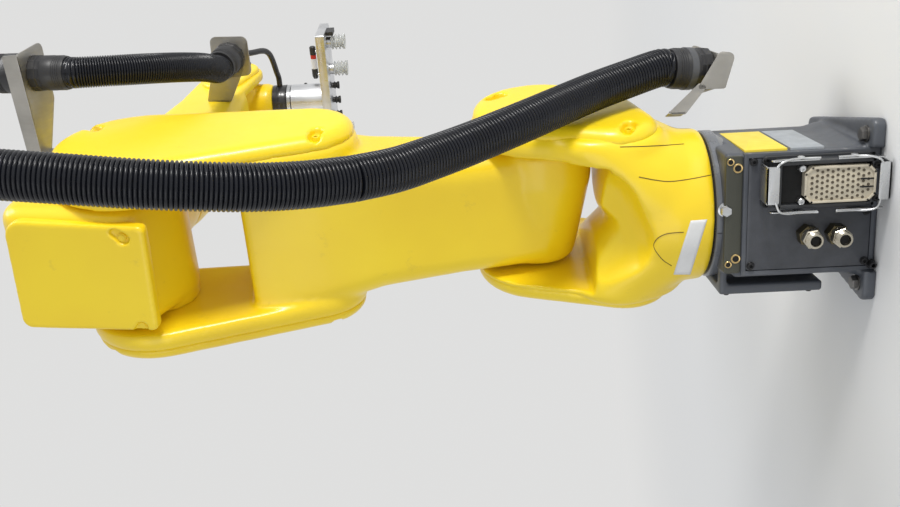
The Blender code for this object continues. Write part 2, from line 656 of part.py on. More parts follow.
def build_forearm_bracket(axis, finishes):
    steel = finishes["steel"]
    x_face = FOREARM_SHELF
    centre = FOREARM_COUPLING
    y_in = -FOREARM_HALF - SEAT
    root_low, root_high = FOREARM_BRACKET_ROOT
    outline = [*FOREARM_BRACKET_OUT, (y_in, root_low), (y_in, root_high), *FOREARM_BRACKET_LOW]
    bracket = plate("forearm_bracket", outline, x_face, x_face + SHEET, along_x, axis, steel)
    x_end = x_face + FOREARM_TAB
    tab_outline = [(x_face, root_low + 0.004), (x_end, root_low + 0.006), (x_end, root_high - 0.004),
                   (x_face, root_high - 0.002)]
    tab = plate("forearm_bracket_tab_tool", tab_outline, y_in - SHEET, y_in, along_y, axis, steel)
    hole = revolve("forearm_bracket_hole_tool", [(x_face - 0.005, BRACKET_HOLE_RADIUS),
                                                   (x_face + 0.008, BRACKET_HOLE_RADIUS)], along_x,
                   centre, axis, None, sides=20)
    fuse(bracket, tab)
    cut(bracket, hole)
    coupling("forearm_hose_coupling", along_x, centre, x_face - SEAT, x_face - SEAT - REAR_COUPLING_LENGTH,
             REAR_COUPLING_RADIUS, axis, finishes)


def build_wrist(axis, finishes):
    yellow = finishes["yellow"]
    pin_half = WRIST_GAP_HALF - SEAT
    wrist = prism("wrist_housing", [(0.0, 0.0, WRIST_HUB_RADIUS)], -WRIST_HUB_HALF, WRIST_HUB_HALF, along_y,
                  axis, yellow, low_round=0.004, high_round=0.004, sides=32)
    pin = prism("wrist_pin_tool", [(0.0, 0.0, WRIST_PIN_RADIUS)], -pin_half, pin_half, along_y, axis, yellow,
                sides=32)
    neck = revolve("wrist_neck_tool", [(0.002, WRIST_NECK_RADIUS), (WRIST_NECK_END - 0.008, WRIST_NECK_RADIUS),
                                       (WRIST_NECK_END, FLANGE_RADIUS)], along_x, (0.0, 0.0), axis, yellow,
                   sides=32)
    fuse(wrist, pin, neck)
    revolve("wrist_ring", [(WRIST_NECK_END + SEAT, FLANGE_RADIUS), (WRIST_RING_END, FLANGE_RADIUS)], along_x,
            (0.0, 0.0), axis, finishes["black"], sides=32)


def build_tool(axis, finishes):
    aluminium = finishes["aluminium"]
    revolve("tool_flange", [(WRIST_RING_END + SEAT, FLANGE_RADIUS), (FLANGE_REACH, FLANGE_RADIUS)], along_x,
            (0.0, 0.0), axis, finishes["steel"], sides=32)
    revolve("tool_adapter", [(FLANGE_REACH + SEAT, FLANGE_RADIUS), (ADAPTER_END, FLANGE_RADIUS)], along_x,
            (0.0, 0.0), axis, aluminium, sides=32)
    plate_near = ADAPTER_END + SEAT
    plate_far = plate_near + PLATE_THICK
    plate_circles = box_circles(-PLATE_HALF_LENGTH, PLATE_HALF_LENGTH, -PLATE_HALF_WIDTH, PLATE_HALF_WIDTH, 0.003)
    prism("gripper_plate", plate_circles, plate_near, plate_far, along_x, axis, aluminium, low_round=0.0008,
          high_round=0.0008, sides=16)
    seat = plate_far + SEAT
    for index, y in enumerate(CUP_PLACES, start=1):
        suction_cup("suction_cup_%d" % index, seat, y, CUP_RADIUS, CUP_LENGTH, 4, axis, finishes["clear"])
    for index, y in enumerate(SMALL_CUP_PLACES, start=1):
        suction_cup("small_cup_%d" % index, seat, y, SMALL_CUP_RADIUS, SMALL_CUP_LENGTH, 2, axis,
                    finishes["black"])
    thick, half_width, height = END_BLOCK
    near_end = -PLATE_HALF_LENGTH + 0.001
    prism("end_block", box_circles(near_end, near_end + thick, -half_width, half_width, 0.001), seat,
          seat + height, along_x, axis, finishes["black"], sides=8)
    build_vacuum_fitting(plate_near - SEAT, axis, finishes)


def suction_cup(name, seat, y, radius, length, folds, axis, finish):
    """A bellows cup: a turned profile that steps in and out once a fold."""
    stem = 0.22 * length
    profile = [(seat, radius * CUP_WAIST), (seat + stem, radius * CUP_WAIST)]
    pitch = (length - stem) / folds
    for fold in range(folds):
        start = seat + stem + fold * pitch
        profile.append((start + 0.5 * pitch, radius))
        if fold < folds - 1:
            profile.append((start + pitch, radius * CUP_WAIST))
    profile.append((seat + length, radius))
    return revolve(name, profile, along_x, (y, 0.0), axis, finish, sides=20)


def build_vacuum_fitting(seat, axis, finishes):
    """A slim filter held off the plate by its two ports."""
    height = seat - FILTER_STANDS
    barrel_z = FILTER_STANDS
    start = -PLATE_HALF_LENGTH + FILTER_FROM_END
    end = -FLANGE_RADIUS - FILTER_CLEARANCE
    chamfer = 0.002
    end_radius = FILTER_RADIUS - 0.0005
    profile = [(start, end_radius), (start + chamfer, FILTER_RADIUS), (end - chamfer, FILTER_RADIUS),
               (end, end_radius)]
    barrel = revolve("vacuum_fitting", profile, along_y, (height, barrel_z), axis, finishes["black"], sides=16)
    outer_in, inner_in = FILTER_PORTS_IN
    for port_at in (start + outer_in, end - inner_in):
        port = revolve("vacuum_port_tool", [(height, FILTER_PORT_RADIUS), (seat, FILTER_PORT_RADIUS)], along_x,
                       (port_at, barrel_z), axis, None, sides=12)
        fuse(barrel, port)


def build_turret_bracket(axis, finishes):
    """Sheet bracket that stands out from the turret and carries the hose below the shoulder."""
    steel = finishes["steel"]
    turned = frame("turret_bracket_axis", axis, (0.0, 0.0, 0.0), turn_z=TURRET_BRACKET_TURN)
    inner = TURRET_RADIUS + 0.0005 + 2.0 * SEAT
    side = TURRET_BRACKET_SIDE
    high_z = TURRET_BRACKET_TOP
    edge = TURRET_BRACKET_EDGE
    outer = COUPLING_OUT + 0.027
    shelf_low = COUPLING_HEIGHT - 0.020
    shelf_strip = 0.010
    flange = plate("turret_bracket", [(inner, 0.172), (edge, 0.166), (edge, shelf_low), (outer, shelf_low),
                                      (outer, shelf_low + shelf_strip), (edge + 0.004, shelf_low + 0.022),
                                      (inner + 0.014, high_z), (inner, high_z)],
                   side, side + SHEET, along_y, turned, steel)
    tab = plate("turret_bracket_tab_tool", [(side, 0.176), (-0.015, 0.176), (-0.015, high_z), (side, high_z)],
                inner, inner + SHEET, along_x, turned, steel)
    tilted = frame("turret_coupling_axis", turned, (COUPLING_OUT, 0.0, COUPLING_HEIGHT), turn_x=COUPLING_TILT)
    half = edge - COUPLING_OUT
    shelf = plate("turret_bracket_shelf_tool", [(half, 1.04 * side), (outer - COUPLING_OUT, 1.04 * side),
                                                (outer - COUPLING_OUT, BRACKET_FRONT), (half, BRACKET_FRONT)],
                  -SHEET, 0.0, along_z, tilted, steel)
    hole = revolve("turret_bracket_hole_tool", [(-0.008, BRACKET_HOLE_RADIUS),
                                                  (0.005, BRACKET_HOLE_RADIUS)], along_z, (0.0, 0.0), tilted,
                   None, sides=20)
    fuse(flange, tab, shelf)
    cut(flange, hole)
    coupling("turret_hose_coupling", along_z, (0.0, 0.0), SEAT, SEAT + COUPLING_LENGTH, COUPLING_RADIUS, tilted,
             finishes)
    return tilted


def world_point(axis, place):
    return axis.matrix_world @ Vector(place)


def world_direction(axis, direction):
    return (axis.matrix_world.to_3x3() @ Vector(direction)).normalized()


def route_points(places):
    return [Vector(place) for place in places]


def build_hoses(finishes, turret_coupling, elbow, forearm, wrist):
    bpy.context.view_layer.update()
    rubber = finishes["black"]
    start = world_point(turret_coupling, (0.0, 0.0, COUPLING_LENGTH + 2.0 * SEAT))
    end_height = ELBOW_SHELF + SHEET + COUPLING_LENGTH + 2.0 * SEAT
    end = world_point(elbow, (*ELBOW_COUPLING, end_height))
    path = hose_path([start] + route_points(DRESS_HOSE_ROUTE) + [end], HOSE_SPACING,
                     world_direction(turret_coupling, (0.0, 0.0, 1.0)), world_direction(elbow, (0.0, 0.0, 1.0)))
    lower, upper = split_path(path, DRESS_HOSE_SPLIT)
    tube("dress_hose_lower", lower, HOSE_RADIUS, rubber)
    tube("dress_hose_upper", upper, HOSE_RADIUS, rubber)

    start = world_point(elbow, (*ELBOW_COUPLING, ELBOW_SHELF - REAR_COUPLING_LENGTH - 2.0 * SEAT))
    face = FOREARM_SHELF - REAR_COUPLING_LENGTH - 2.0 * SEAT
    end = world_point(forearm, (face, *FOREARM_COUPLING))
    path = hose_path([start] + route_points(FOREARM_HOSE_ROUTE) + [end], HOSE_SPACING,
                     world_direction(elbow, (0.0, 0.0, -1.0)), world_direction(forearm, (-1.0, 0.0, 0.0)))
    tube("forearm_hose", path, REAR_HOSE_RADIUS, rubber)

    start = world_point(forearm, (FOREARM_SHELF, *FOREARM_COUPLING))
    on_ring = 0.5 * (WRIST_NECK_END + WRIST_RING_END)
    end = world_point(wrist, (on_ring, -FLANGE_RADIUS - SEAT, 0.0))
    path = hose_path([start] + route_points(TOOL_CABLE_ROUTE) + [end], CABLE_SPACING,
                     world_direction(forearm, (1.0, 0.0, 0.0)), world_direction(wrist, (0.0, -1.0, 0.0)))
    tube("tool_cable", path, CABLE_RADIUS, rubber)


def build_robot():
    clear_scene()
    finishes = {
        "yellow": material("painted_yellow", (0.86, 0.62, 0.02), 0.35),
        "grey": material("painted_grey", (0.07, 0.075, 0.09), 0.5),
        "black": material("black_polymer", (0.02, 0.02, 0.022), 0.45),
        "steel": material("stainless_steel", (0.62, 0.61, 0.58), 0.35, 1.0),
        "aluminium": material("aluminium", (0.75, 0.76, 0.78), 0.35, 1.0),
        "brass": material("nickelled_brass", (0.60, 0.52, 0.38), 0.3, 1.0),
        "beige": material("connector_insert", (0.62, 0.57, 0.47), 0.6),
        "clear": material("clear_silicone", (0.80, 0.82, 0.82), 0.3),
    }
    axis_1 = frame("axis_1", None, (0.0, 0.0, 0.0), turn_z=TURRET_TURN)
    axis_2 = frame("axis_2", axis_1, (SHOULDER_FORWARD, 0.0, SHOULDER_HEIGHT), turn_y=UPPER_ARM_LEAN)
    axis_3 = frame("axis_3", axis_2, (0.0, 0.0, UPPER_ARM_LENGTH), turn_y=FOREARM_DIP - UPPER_ARM_LEAN)
    axis_4 = frame("axis_4", axis_3, (0.0, 0.0, ELBOW_OFFSET))
    axis_5 = frame("axis_5", axis_4, (FOREARM_LENGTH, 0.0, 0.0), turn_y=TOOL_PITCH - FOREARM_DIP)
    build_base(finishes)
    build_turret(axis_1, finishes)
    turret_coupling = build_turret_bracket(axis_1, finishes)
    build_upper_arm(axis_2, finishes)
    build_elbow(axis_3, finishes)
    build_forearm(axis_4, finishes)
    build_wrist(axis_5, finishes)
    build_tool(axis_5, finishes)
    build_hoses(finishes, turret_coupling, axis_3, axis_4, axis_5)


build_robot()
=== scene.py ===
import math

import bmesh
import bpy
from mathutils import Matrix, Vector
from mathutils.bvhtree import BVHTree


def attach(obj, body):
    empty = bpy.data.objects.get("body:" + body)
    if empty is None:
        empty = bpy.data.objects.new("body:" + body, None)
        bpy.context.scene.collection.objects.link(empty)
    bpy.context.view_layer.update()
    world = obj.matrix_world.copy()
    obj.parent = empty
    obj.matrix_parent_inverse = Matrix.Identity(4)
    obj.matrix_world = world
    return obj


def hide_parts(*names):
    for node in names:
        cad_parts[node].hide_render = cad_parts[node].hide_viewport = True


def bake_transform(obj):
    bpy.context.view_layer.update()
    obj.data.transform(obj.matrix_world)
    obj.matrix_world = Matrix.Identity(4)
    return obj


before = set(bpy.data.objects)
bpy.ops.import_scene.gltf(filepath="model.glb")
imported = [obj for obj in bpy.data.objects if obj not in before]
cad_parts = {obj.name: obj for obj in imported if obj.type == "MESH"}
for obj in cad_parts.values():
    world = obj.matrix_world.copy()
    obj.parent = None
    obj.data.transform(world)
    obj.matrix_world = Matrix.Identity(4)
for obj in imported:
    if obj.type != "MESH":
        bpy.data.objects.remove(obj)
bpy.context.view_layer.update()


# stands: where each moving part of the arm has its own zero, in the pose shown
def turned(axis, degrees):
    return Matrix.Rotation(math.radians(degrees), 4, axis)


def moved(x, y, z):
    return Matrix.Translation((x, y, z))


armPose = {"turn": -11.0, "lean": -8.0, "lift": 15.5, "bend": 82.5,
           "shoulder": (0.050, 0.0, 0.330), "upperLength": 0.440, "elbowOffset": 0.035, "foreLength": 0.420}
onBase = Matrix.Identity(4)
onTurret = turned('Z', armPose["turn"])
onUpperArm = onTurret @ moved(*armPose["shoulder"]) @ turned('Y', armPose["lean"])
onElbow = onUpperArm @ moved(0, 0, armPose["upperLength"]) @ turned('Y', armPose["lift"])
onForearm = onElbow @ moved(0, 0, armPose["elbowOffset"])
onWrist = onForearm @ moved(armPose["foreLength"], 0, 0) @ turned('Y', armPose["bend"])


# camera
cameraView = {"place": (-1.0746, -0.2679, 0.4146), "right": (0.0061, 0.0531, -0.9986),
              "forward": (0.9591, 0.2823, 0.0209), "lens": 40.0}


def setCamera():
    data = bpy.data.cameras.new("photoCamera")
    data.lens = cameraView["lens"]
    data.sensor_width = 36.0
    data.clip_start = 0.01
    camera = bpy.data.objects.new("photoCamera", data)
    bpy.context.scene.collection.objects.link(camera)
    right = Vector(cameraView["right"]).normalized()
    forward = Vector(cameraView["forward"]).normalized()
    up = right.cross(forward).normalized()
    forward = up.cross(right).normalized()
    turn = Matrix((right, up, -forward)).transposed()
    camera.matrix_world = Matrix.Translation(cameraView["place"]) @ turn.to_4x4()
    bpy.context.scene.camera = camera


setCamera()
print("camera set")


# materials
def newMaterial(name):
    material = bpy.data.materials.new(name)
    material.use_nodes = True
    nodes = material.node_tree.nodes
    return material, nodes, material.node_tree.links, nodes["Principled BSDF"]


def noiseOn(nodes, links, scale, detail=4.0, roughness=0.5):
    place = nodes.new('ShaderNodeTexCoord')
    noise = nodes.new('ShaderNodeTexNoise')
    noise.inputs["Scale"].default_value = scale
    noise.inputs["Detail"].default_value = detail
    noise.inputs["Roughness"].default_value = roughness
    links.new(place.outputs["Object"], noise.inputs["Vector"])
    return noise


def rampOf(nodes, links, source, low, high, dark=0.0, light=1.0):
    ramp = nodes.new('ShaderNodeMapRange')
    ramp.inputs["From Min"].default_value = low
    ramp.inputs["From Max"].default_value = high
    ramp.inputs["To Min"].default_value = dark
    ramp.inputs["To Max"].default_value = light
    links.new(source, ramp.inputs["Value"])
    return ramp.outputs["Result"]


def mixColour(nodes, links, factor, first, second):
    mix = nodes.new('ShaderNodeMix')
    mix.data_type = 'RGBA'
    links.new(factor, mix.inputs[0])
    for socket, value in ((mix.inputs[6], first), (mix.inputs[7], second)):
        if isinstance(value, tuple):
            socket.default_value = (*value, 1.0)
        else:
            links.new(value, socket)
    return mix.outputs[2]


def bumpFrom(nodes, links, height, strength, distance):
    bump = nodes.new('ShaderNodeBump')
    bump.inputs["Strength"].default_value = strength
    bump.inputs["Distance"].default_value = distance
    links.new(height, bump.inputs["Height"])
    return bump.outputs["Normal"]


def paintedCasting(name, look):
    material, nodes, links, shader = newMaterial(name)
    cloud = noiseOn(nodes, links, look["cloudScale"], 3.0)
    body = mixColour(nodes, links, rampOf(nodes, links, cloud.outputs["Fac"], 0.35, 0.68),
                     look["colour"], look["shade"])
    grime = noiseOn(nodes, links, 38.0, 8.0, 0.7)
    stained = mixColour(nodes, links, rampOf(nodes, links, grime.outputs["Fac"], 0.62, 0.80, 0.0, look["grime"]),
                        body, look["dirt"])
    worn = nodes.new('ShaderNodeNewGeometry')
    edge = rampOf(nodes, links, worn.outputs["Pointiness"], look["wearFrom"], look["wearFrom"] + 0.05)
    chips = noiseOn(nodes, links, 95.0, 6.0, 0.65)
    chipped = nodes.new('ShaderNodeMath')
    chipped.operation = 'MULTIPLY'
    links.new(edge, chipped.inputs[0])
    links.new(rampOf(nodes, links, chips.outputs["Fac"], 0.56, 0.62), chipped.inputs[1])
    links.new(mixColour(nodes, links, chipped.outputs[0], stained, look["bare"]), shader.inputs["Base Color"])
    links.new(rampOf(nodes, links, grime.outputs["Fac"], 0.3, 0.75, look["rough"] - 0.05, look["rough"] + 0.10),
              shader.inputs["Roughness"])
    peel = noiseOn(nodes, links, look["peelScale"], 2.0)
    links.new(bumpFrom(nodes, links, peel.outputs["Fac"], look["peel"], 0.0004), shader.inputs["Normal"])
    shader.inputs["Coat Weight"].default_value = look["coat"]
    shader.inputs["Coat Roughness"].default_value = 0.18
    return material


yellowLook = {"colour": (0.90, 0.66, 0.008), "shade": (0.84, 0.58, 0.007), "dirt": (0.40, 0.27, 0.05),
              "bare": (0.28, 0.18, 0.06), "cloudScale": 5.0, "grime": 0.35, "wearFrom": 0.56,
              "rough": 0.36, "peelScale": 420.0, "peel": 0.10, "coat": 0.25}
greyLook = {"colour": (0.075, 0.082, 0.095), "shade": (0.060, 0.066, 0.078), "dirt": (0.14, 0.135, 0.12),
            "bare": (0.20, 0.20, 0.20), "cloudScale": 9.0, "grime": 0.45, "wearFrom": 0.56,
            "rough": 0.42, "peelScale": 650.0, "peel": 0.22, "coat": 0.0}
# the pad's dark olive colour is partly its own and partly painted shade of the recess between ring and panel frame
padLookWithShade = dict(greyLook, colour=(0.050, 0.051, 0.036), shade=(0.038, 0.039, 0.028))
ringLook = dict(greyLook, colour=(0.150, 0.158, 0.175), shade=(0.120, 0.127, 0.142), rough=0.28, peel=0.10)


def plainMaterial(name, colour, rough, metal=0.0, grain=0.0, grainScale=300.0, coat=0.0, variation=0.25):
    material, nodes, links, shader = newMaterial(name)
    cloud = noiseOn(nodes, links, 60.0, 6.0, 0.6)
    dark = tuple(channel * (1.0 - variation) for channel in colour)
    links.new(mixColour(nodes, links, rampOf(nodes, links, cloud.outputs["Fac"], 0.3, 0.7), colour, dark),
              shader.inputs["Base Color"])
    links.new(rampOf(nodes, links, cloud.outputs["Fac"], 0.3, 0.7, max(rough - 0.04, 0.04), rough + 0.08),
              shader.inputs["Roughness"])
    shader.inputs["Metallic"].default_value = metal
    shader.inputs["Coat Weight"].default_value = coat
    if grain:
        fine = noiseOn(nodes, links, grainScale, 3.0)
        links.new(bumpFrom(nodes, links, fine.outputs["Fac"], grain, 0.0003), shader.inputs["Normal"])
    return material


def brushedMetal(name, colour, rough, stretch):
    material, nodes, links, shader = newMaterial(name)
    place = nodes.new('ShaderNodeTexCoord')
    spread = nodes.new('ShaderNodeMapping')
    spread.inputs["Scale"].default_value = stretch
    lines = nodes.new('ShaderNodeTexNoise')
    lines.inputs["Scale"].default_value = 60.0
    lines.inputs["Detail"].default_value = 8.0
    links.new(place.outputs["Object"], spread.inputs["Vector"])
    links.new(spread.outputs["Vector"], lines.inputs["Vector"])
    blotch = noiseOn(nodes, links, 22.0, 5.0)
    dark = tuple(channel * 0.72 for channel in colour)
    links.new(mixColour(nodes, links, rampOf(nodes, links, blotch.outputs["Fac"], 0.35, 0.75), colour, dark),
              shader.inputs["Base Color"])
    links.new(rampOf(nodes, links, lines.outputs["Fac"], 0.3, 0.7, rough, rough + 0.16),
              shader.inputs["Roughness"])
    links.new(bumpFrom(nodes, links, lines.outputs["Fac"], 0.10, 0.0002), shader.inputs["Normal"])
    shader.inputs["Metallic"].default_value = 1.0
    return material


def clearSilicone(name):
    material, nodes, links, shader = newMaterial(name)
    cloud = noiseOn(nodes, links, 90.0, 4.0)
    links.new(mixColour(nodes, links, rampOf(nodes, links, cloud.outputs["Fac"], 0.3, 0.7),
                        (0.86, 0.87, 0.86), (0.74, 0.76, 0.75)), shader.inputs["Base Color"])
    shader.inputs["Roughness"].default_value = 0.22
    shader.inputs["Transmission Weight"].default_value = 0.55
    shader.inputs["IOR"].default_value = 1.41
    return material


yellowPaint = paintedCasting("yellowPaint", yellowLook)
greyPaint = paintedCasting("greyPaint", greyLook)
padPaintWithShade = paintedCasting("padPaintWithShade", padLookWithShade)
ringPaint = paintedCasting("ringPaint", ringLook)
panelCoat = plainMaterial("panelCoat", (0.060, 0.064, 0.074), 0.42, grain=0.30, grainScale=900.0)
seamDark = plainMaterial("seamDark", (0.16, 0.095, 0.010), 0.75)
seamBlack = plainMaterial("seamBlack", (0.012, 0.012, 0.013), 0.70)
# near-black material laid in holes, gaps and recesses: painted shade in place of their depth
paintedHoleShade = plainMaterial("paintedHoleShade", (0.006, 0.006, 0.006), 0.85)
hosePlastic = plainMaterial("hosePlastic", (0.007, 0.008, 0.012), 0.24, variation=0.35)
hosePlastic.node_tree.nodes["Principled BSDF"].inputs["Specular IOR Level"].default_value = 0.32
blackPlastic = plainMaterial("blackPlastic", (0.022, 0.022, 0.024), 0.40, grain=0.25, grainScale=700.0)
greyBand = plainMaterial("greyBand", (0.085, 0.088, 0.095), 0.45)
cableRubber = plainMaterial("cableRubber", (0.018, 0.018, 0.020), 0.38)
blackScrew = plainMaterial("blackScrew", (0.030, 0.030, 0.032), 0.32, metal=0.6)
beigePlastic = plainMaterial("beigePlastic", (0.58, 0.52, 0.40), 0.46, grain=0.2, grainScale=500.0)
tapeBlack = plainMaterial("tapeBlack", (0.020, 0.020, 0.022), 0.30, grain=0.45, grainScale=140.0, coat=0.3)
whiteLabel = plainMaterial("whiteLabel", (0.74, 0.74, 0.73), 0.40, variation=0.10)
yellowLabel = plainMaterial("yellowLabel", (0.86, 0.66, 0.05), 0.40, variation=0.10)
silverLabel = plainMaterial("silverLabel", (0.42, 0.45, 0.48), 0.36, metal=0.4, variation=0.15)
cupRubber = plainMaterial("cupRubber", (0.020, 0.020, 0.020), 0.55)
redPlastic = plainMaterial("redPlastic", (0.55, 0.030, 0.020), 0.35)
dullSheet = brushedMetal("dullSheet", (0.42, 0.405, 0.375), 0.34, (1.0, 6.0, 1.0))
socketBrown = plainMaterial("socketBrown", (0.085, 0.065, 0.040), 0.60)
darkCast = plainMaterial("darkCast", (0.030, 0.032, 0.036), 0.40, grain=0.3, grainScale=800.0)
agedBrass = brushedMetal("agedBrass", (0.150, 0.125, 0.070), 0.30, (1.0, 1.0, 6.0))
nickelPlate = brushedMetal("nickelPlate", (0.56, 0.52, 0.43), 0.20, (1.0, 1.0, 6.0))
darkSteel = brushedMetal("darkSteel", (0.16, 0.155, 0.15), 0.34, (1.0, 1.0, 3.0))
brassInsert = brushedMetal("brassInsert", (0.62, 0.45, 0.20), 0.25, (1.0, 1.0, 3.0))
zincSteel = brushedMetal("zincSteel", (0.62, 0.63, 0.64), 0.22, (1.0, 1.0, 4.0))
turnedSteel = brushedMetal("turnedSteel", (0.62, 0.63, 0.64), 0.20, (12.0, 12.0, 0.6))
milledAluminium = brushedMetal("milledAluminium", (0.76, 0.77, 0.79), 0.26, (9.0, 9.0, 0.6))
siliconeCup = clearSilicone("siliconeCup")
print("materials made")


# mesh helpers
def linkMesh(name, mesh, finish):
    piece = bpy.data.objects.new(name, mesh)
    bpy.context.scene.collection.objects.link(piece)
    if finish:
        mesh.materials.clear()
        mesh.materials.append(finish)
    return piece


def bake(piece):
    shaped = bpy.data.meshes.new_from_object(piece.evaluated_get(bpy.context.evaluated_depsgraph_get()))
    old = piece.data
    shaped.name = old.name
    piece.modifiers.clear()
    piece.data = shaped
    if isinstance(old, bpy.types.Mesh):
        bpy.data.meshes.remove(old)


def meshFrom(name, build):
    mesh = bpy.data.meshes.new(name)
    build.to_mesh(mesh)
    build.free()
    return mesh


def smoothShade(piece, angle=38.0):
    piece.data.shade_smooth()
    piece.data.set_sharp_from_angle(angle=math.radians(angle))
    return piece


def levelsOf(low, high, lowRound, highRound, steps=5):
    levels = []
    for rounding, start, way in ((lowRound, low, 1.0), (highRound, high, -1.0)):
        if rounding <= 0.0:
            levels.append((start, 0.0))
            continue
        for step in range(steps + 1):
            angle = 0.5 * math.pi * step / steps
            levels.append((start + way * rounding * (1.0 - math.sin(angle)), rounding * (1.0 - math.cos(angle))))
    return levels


def slab(circles, low, high, along, lowRound=0.0, highRound=0.0, steps=40):
    # points of a rounded slab whose outline goes round circles (u, v, radius)
    points = []
    for level, inset in levelsOf(low, high, lowRound, highRound):
        for u, v, radius in circles:
            reach = max(radius - inset, 0.0004)
            for step in range(steps):
                angle = 2.0 * math.pi * step / steps
                a, b = u + reach * math.cos(angle), v + reach * math.sin(angle)
                points.append({'X': (level, a, b), 'Y': (a, level, b), 'Z': (a, b, level)}[along])
    return points


def corners(uLow, uHigh, vLow, vHigh, radius):
    return [(u, v, radius) for u in (uLow + radius, uHigh - radius) for v in (vLow + radius, vHigh - radius)]


def balls(*places):
    points = []
    for x, y, z, radius in places:
        for row in range(1, 12):
            polar = math.pi * row / 12
            for step in range(24):
                angle = 2.0 * math.pi * step / 24
                points.append((x + radius * math.sin(polar) * math.cos(angle),
                               y + radius * math.sin(polar) * math.sin(angle), z + radius * math.cos(polar)))
    return points


def hullInto(target, points, stand):
    part = bmesh.new()
    for point in points:
        part.verts.new(stand @ Vector(point))
    made = bmesh.ops.convex_hull(part, input=part.verts)
    spare = {item for item in made["geom_interior"] + made["geom_unused"] if isinstance(item, bmesh.types.BMVert)}
    bmesh.ops.delete(part, geom=list(spare), context='VERTS')
    bmesh.ops.recalc_face_normals(part, faces=part.faces)
    mesh = meshFrom("hull", part)
    target.from_mesh(mesh)
    bpy.data.meshes.remove(mesh)


def hullsMesh(name, hulls, stand):
    build = bmesh.new()
    for points in hulls:
        hullInto(build, points, stand)
    return meshFrom(name, build)


def addRemesh(piece, size, rounds):
    shell = piece.modifiers.new("shell", 'REMESH')
    shell.mode = 'VOXEL'
    shell.voxel_size = size
    shell.use_smooth_shade = True
    if rounds:
        soft = piece.modifiers.new("soft", 'SMOOTH')
        soft.factor = 0.5
        soft.iterations = rounds


def casting(name, hulls, stand, finish, cuts=(), size=0.0026, soften=16, resoften=4, swell=0.0005):
    # hulls grown into one skin and softened like a sand casting, then pockets cut and softened less
    piece = linkMesh(name, hullsMesh(name, hulls, stand), finish)
    addRemesh(piece, size, soften)
    if swell:
        grow = piece.modifiers.new("grow", 'DISPLACE')
        grow.strength = swell
        grow.mid_level = 0.0
    bake(piece)
    for points in cuts:
        tool = linkMesh("cutter", hullsMesh("cutter", [points], stand), None)
        cut = piece.modifiers.new("cut", 'BOOLEAN')
        cut.operation = 'DIFFERENCE'
        cut.solver = 'EXACT'
        cut.object = tool
        bake(piece)
        bpy.data.objects.remove(tool)
    if cuts:
        addRemesh(piece, size, resoften)
        bake(piece)
    piece.data.materials.clear()
    piece.data.materials.append(finish)
    piece.data.shade_smooth()
    return piece


def solid(name, hulls, stand, finish, bevel=0.0):
    # crisp hulls side by side in one piece, with a small bevel
    piece = linkMesh(name, hullsMesh(name, hulls, stand), finish)
    if bevel:
        edge = piece.modifiers.new("edge", 'BEVEL')
        edge.width = bevel
        edge.segments = 2
        edge.angle_limit = math.radians(40.0)
        bake(piece)
    return smoothShade(piece)


def skinned(name, build, rings, finish, angle):
    # rings of points joined into one closed skin
    sides = len(rings[0])
    for first, second in zip(rings, rings[1:]):
        for k in range(sides):
            build.faces.new((first[k], first[(k + 1) % sides], second[(k + 1) % sides], second[k]))
    build.faces.new(rings[0])
    build.faces.new(rings[-1])
    bmesh.ops.recalc_face_normals(build, faces=build.faces)
    return smoothShade(linkMesh(name, meshFrom(name, build), finish), angle)


def lathe(name, profile, stand, finish, sides=48, angle=35.0):
    # profile of (along, radius) turned round the stand's own X
    build = bmesh.new()
    rings = []
    for along, radius in profile:
        rings.append([build.verts.new(stand @ Vector((along, radius * math.cos(2.0 * math.pi * k / sides),
                                                      radius * math.sin(2.0 * math.pi * k / sides))))
                      for k in range(sides)])
    return skinned(name, build, rings, finish, angle)


def pointing(place, direction, roll=0.0):
    # a stand at place whose own X points along direction
    turn = Vector(direction).to_track_quat('X', 'Z').to_matrix().to_4x4()
    return Matrix.Translation(place) @ turn @ turned('X', roll)


def join(name, pieces):
    # several made meshes as one piece, each part keeping its finish
    build = bmesh.new()
    finishes = []
    for piece in pieces:
        slots = []
        for finish in piece.data.materials:
            if finish not in finishes:
                finishes.append(finish)
            slots.append(finishes.index(finish))
        start = len(build.faces)
        build.from_mesh(piece.data)
        build.faces.ensure_lookup_table()
        for face in build.faces[start:]:
            face.material_index = slots[face.material_index] if slots else 0
    mesh = meshFrom(name, build)
    for finish in finishes:
        mesh.materials.append(finish)
    for piece in pieces:
        bpy.data.objects.remove(piece)
    made = bpy.data.objects.new(name, mesh)
    bpy.context.scene.collection.objects.link(made)
    return made


def wire(name, points, radius, finish, sides=2):
    data = bpy.data.curves.new(name, 'CURVE')
    data.dimensions = '3D'
    data.bevel_depth = radius
    data.bevel_resolution = sides
    data.use_fill_caps = True
    spline = data.splines.new('POLY')
    spline.points.add(len(points) - 1)
    for spot, place in zip(spline.points, points):
        spot.co = (*place, 1.0)
    data.materials.append(finish)
    line = bpy.data.objects.new(name, data)
    bpy.context.scene.collection.objects.link(line)
    mesh = bpy.data.meshes.new_from_object(line.evaluated_get(bpy.context.evaluated_depsgraph_get()))
    bpy.data.objects.remove(line)
    return smoothShade(linkMesh(name, mesh, finish), 60.0)


def surfaceOf(piece):
    return BVHTree.FromPolygons([v.co for v in piece.data.vertices], [p.vertices[:] for p in piece.data.polygons])


def rayTo(tree, place):
    # where a ray from the camera's place through a world place first meets the tree, from 0.1 m before it
    ahead = (place - Vector(cameraView["place"])).normalized()
    return tree.ray_cast(place - ahead * 0.1, ahead), ahead


def seam(name, target, places, radius=0.0005):
    # a parting line laid on the target where those rays meet it
    tree = surfaceOf(target)
    hits = [rayTo(tree, Vector(place))[0][0] for place in places]
    return wire(name, [hit for hit in hits if hit is not None], radius, seamDark)


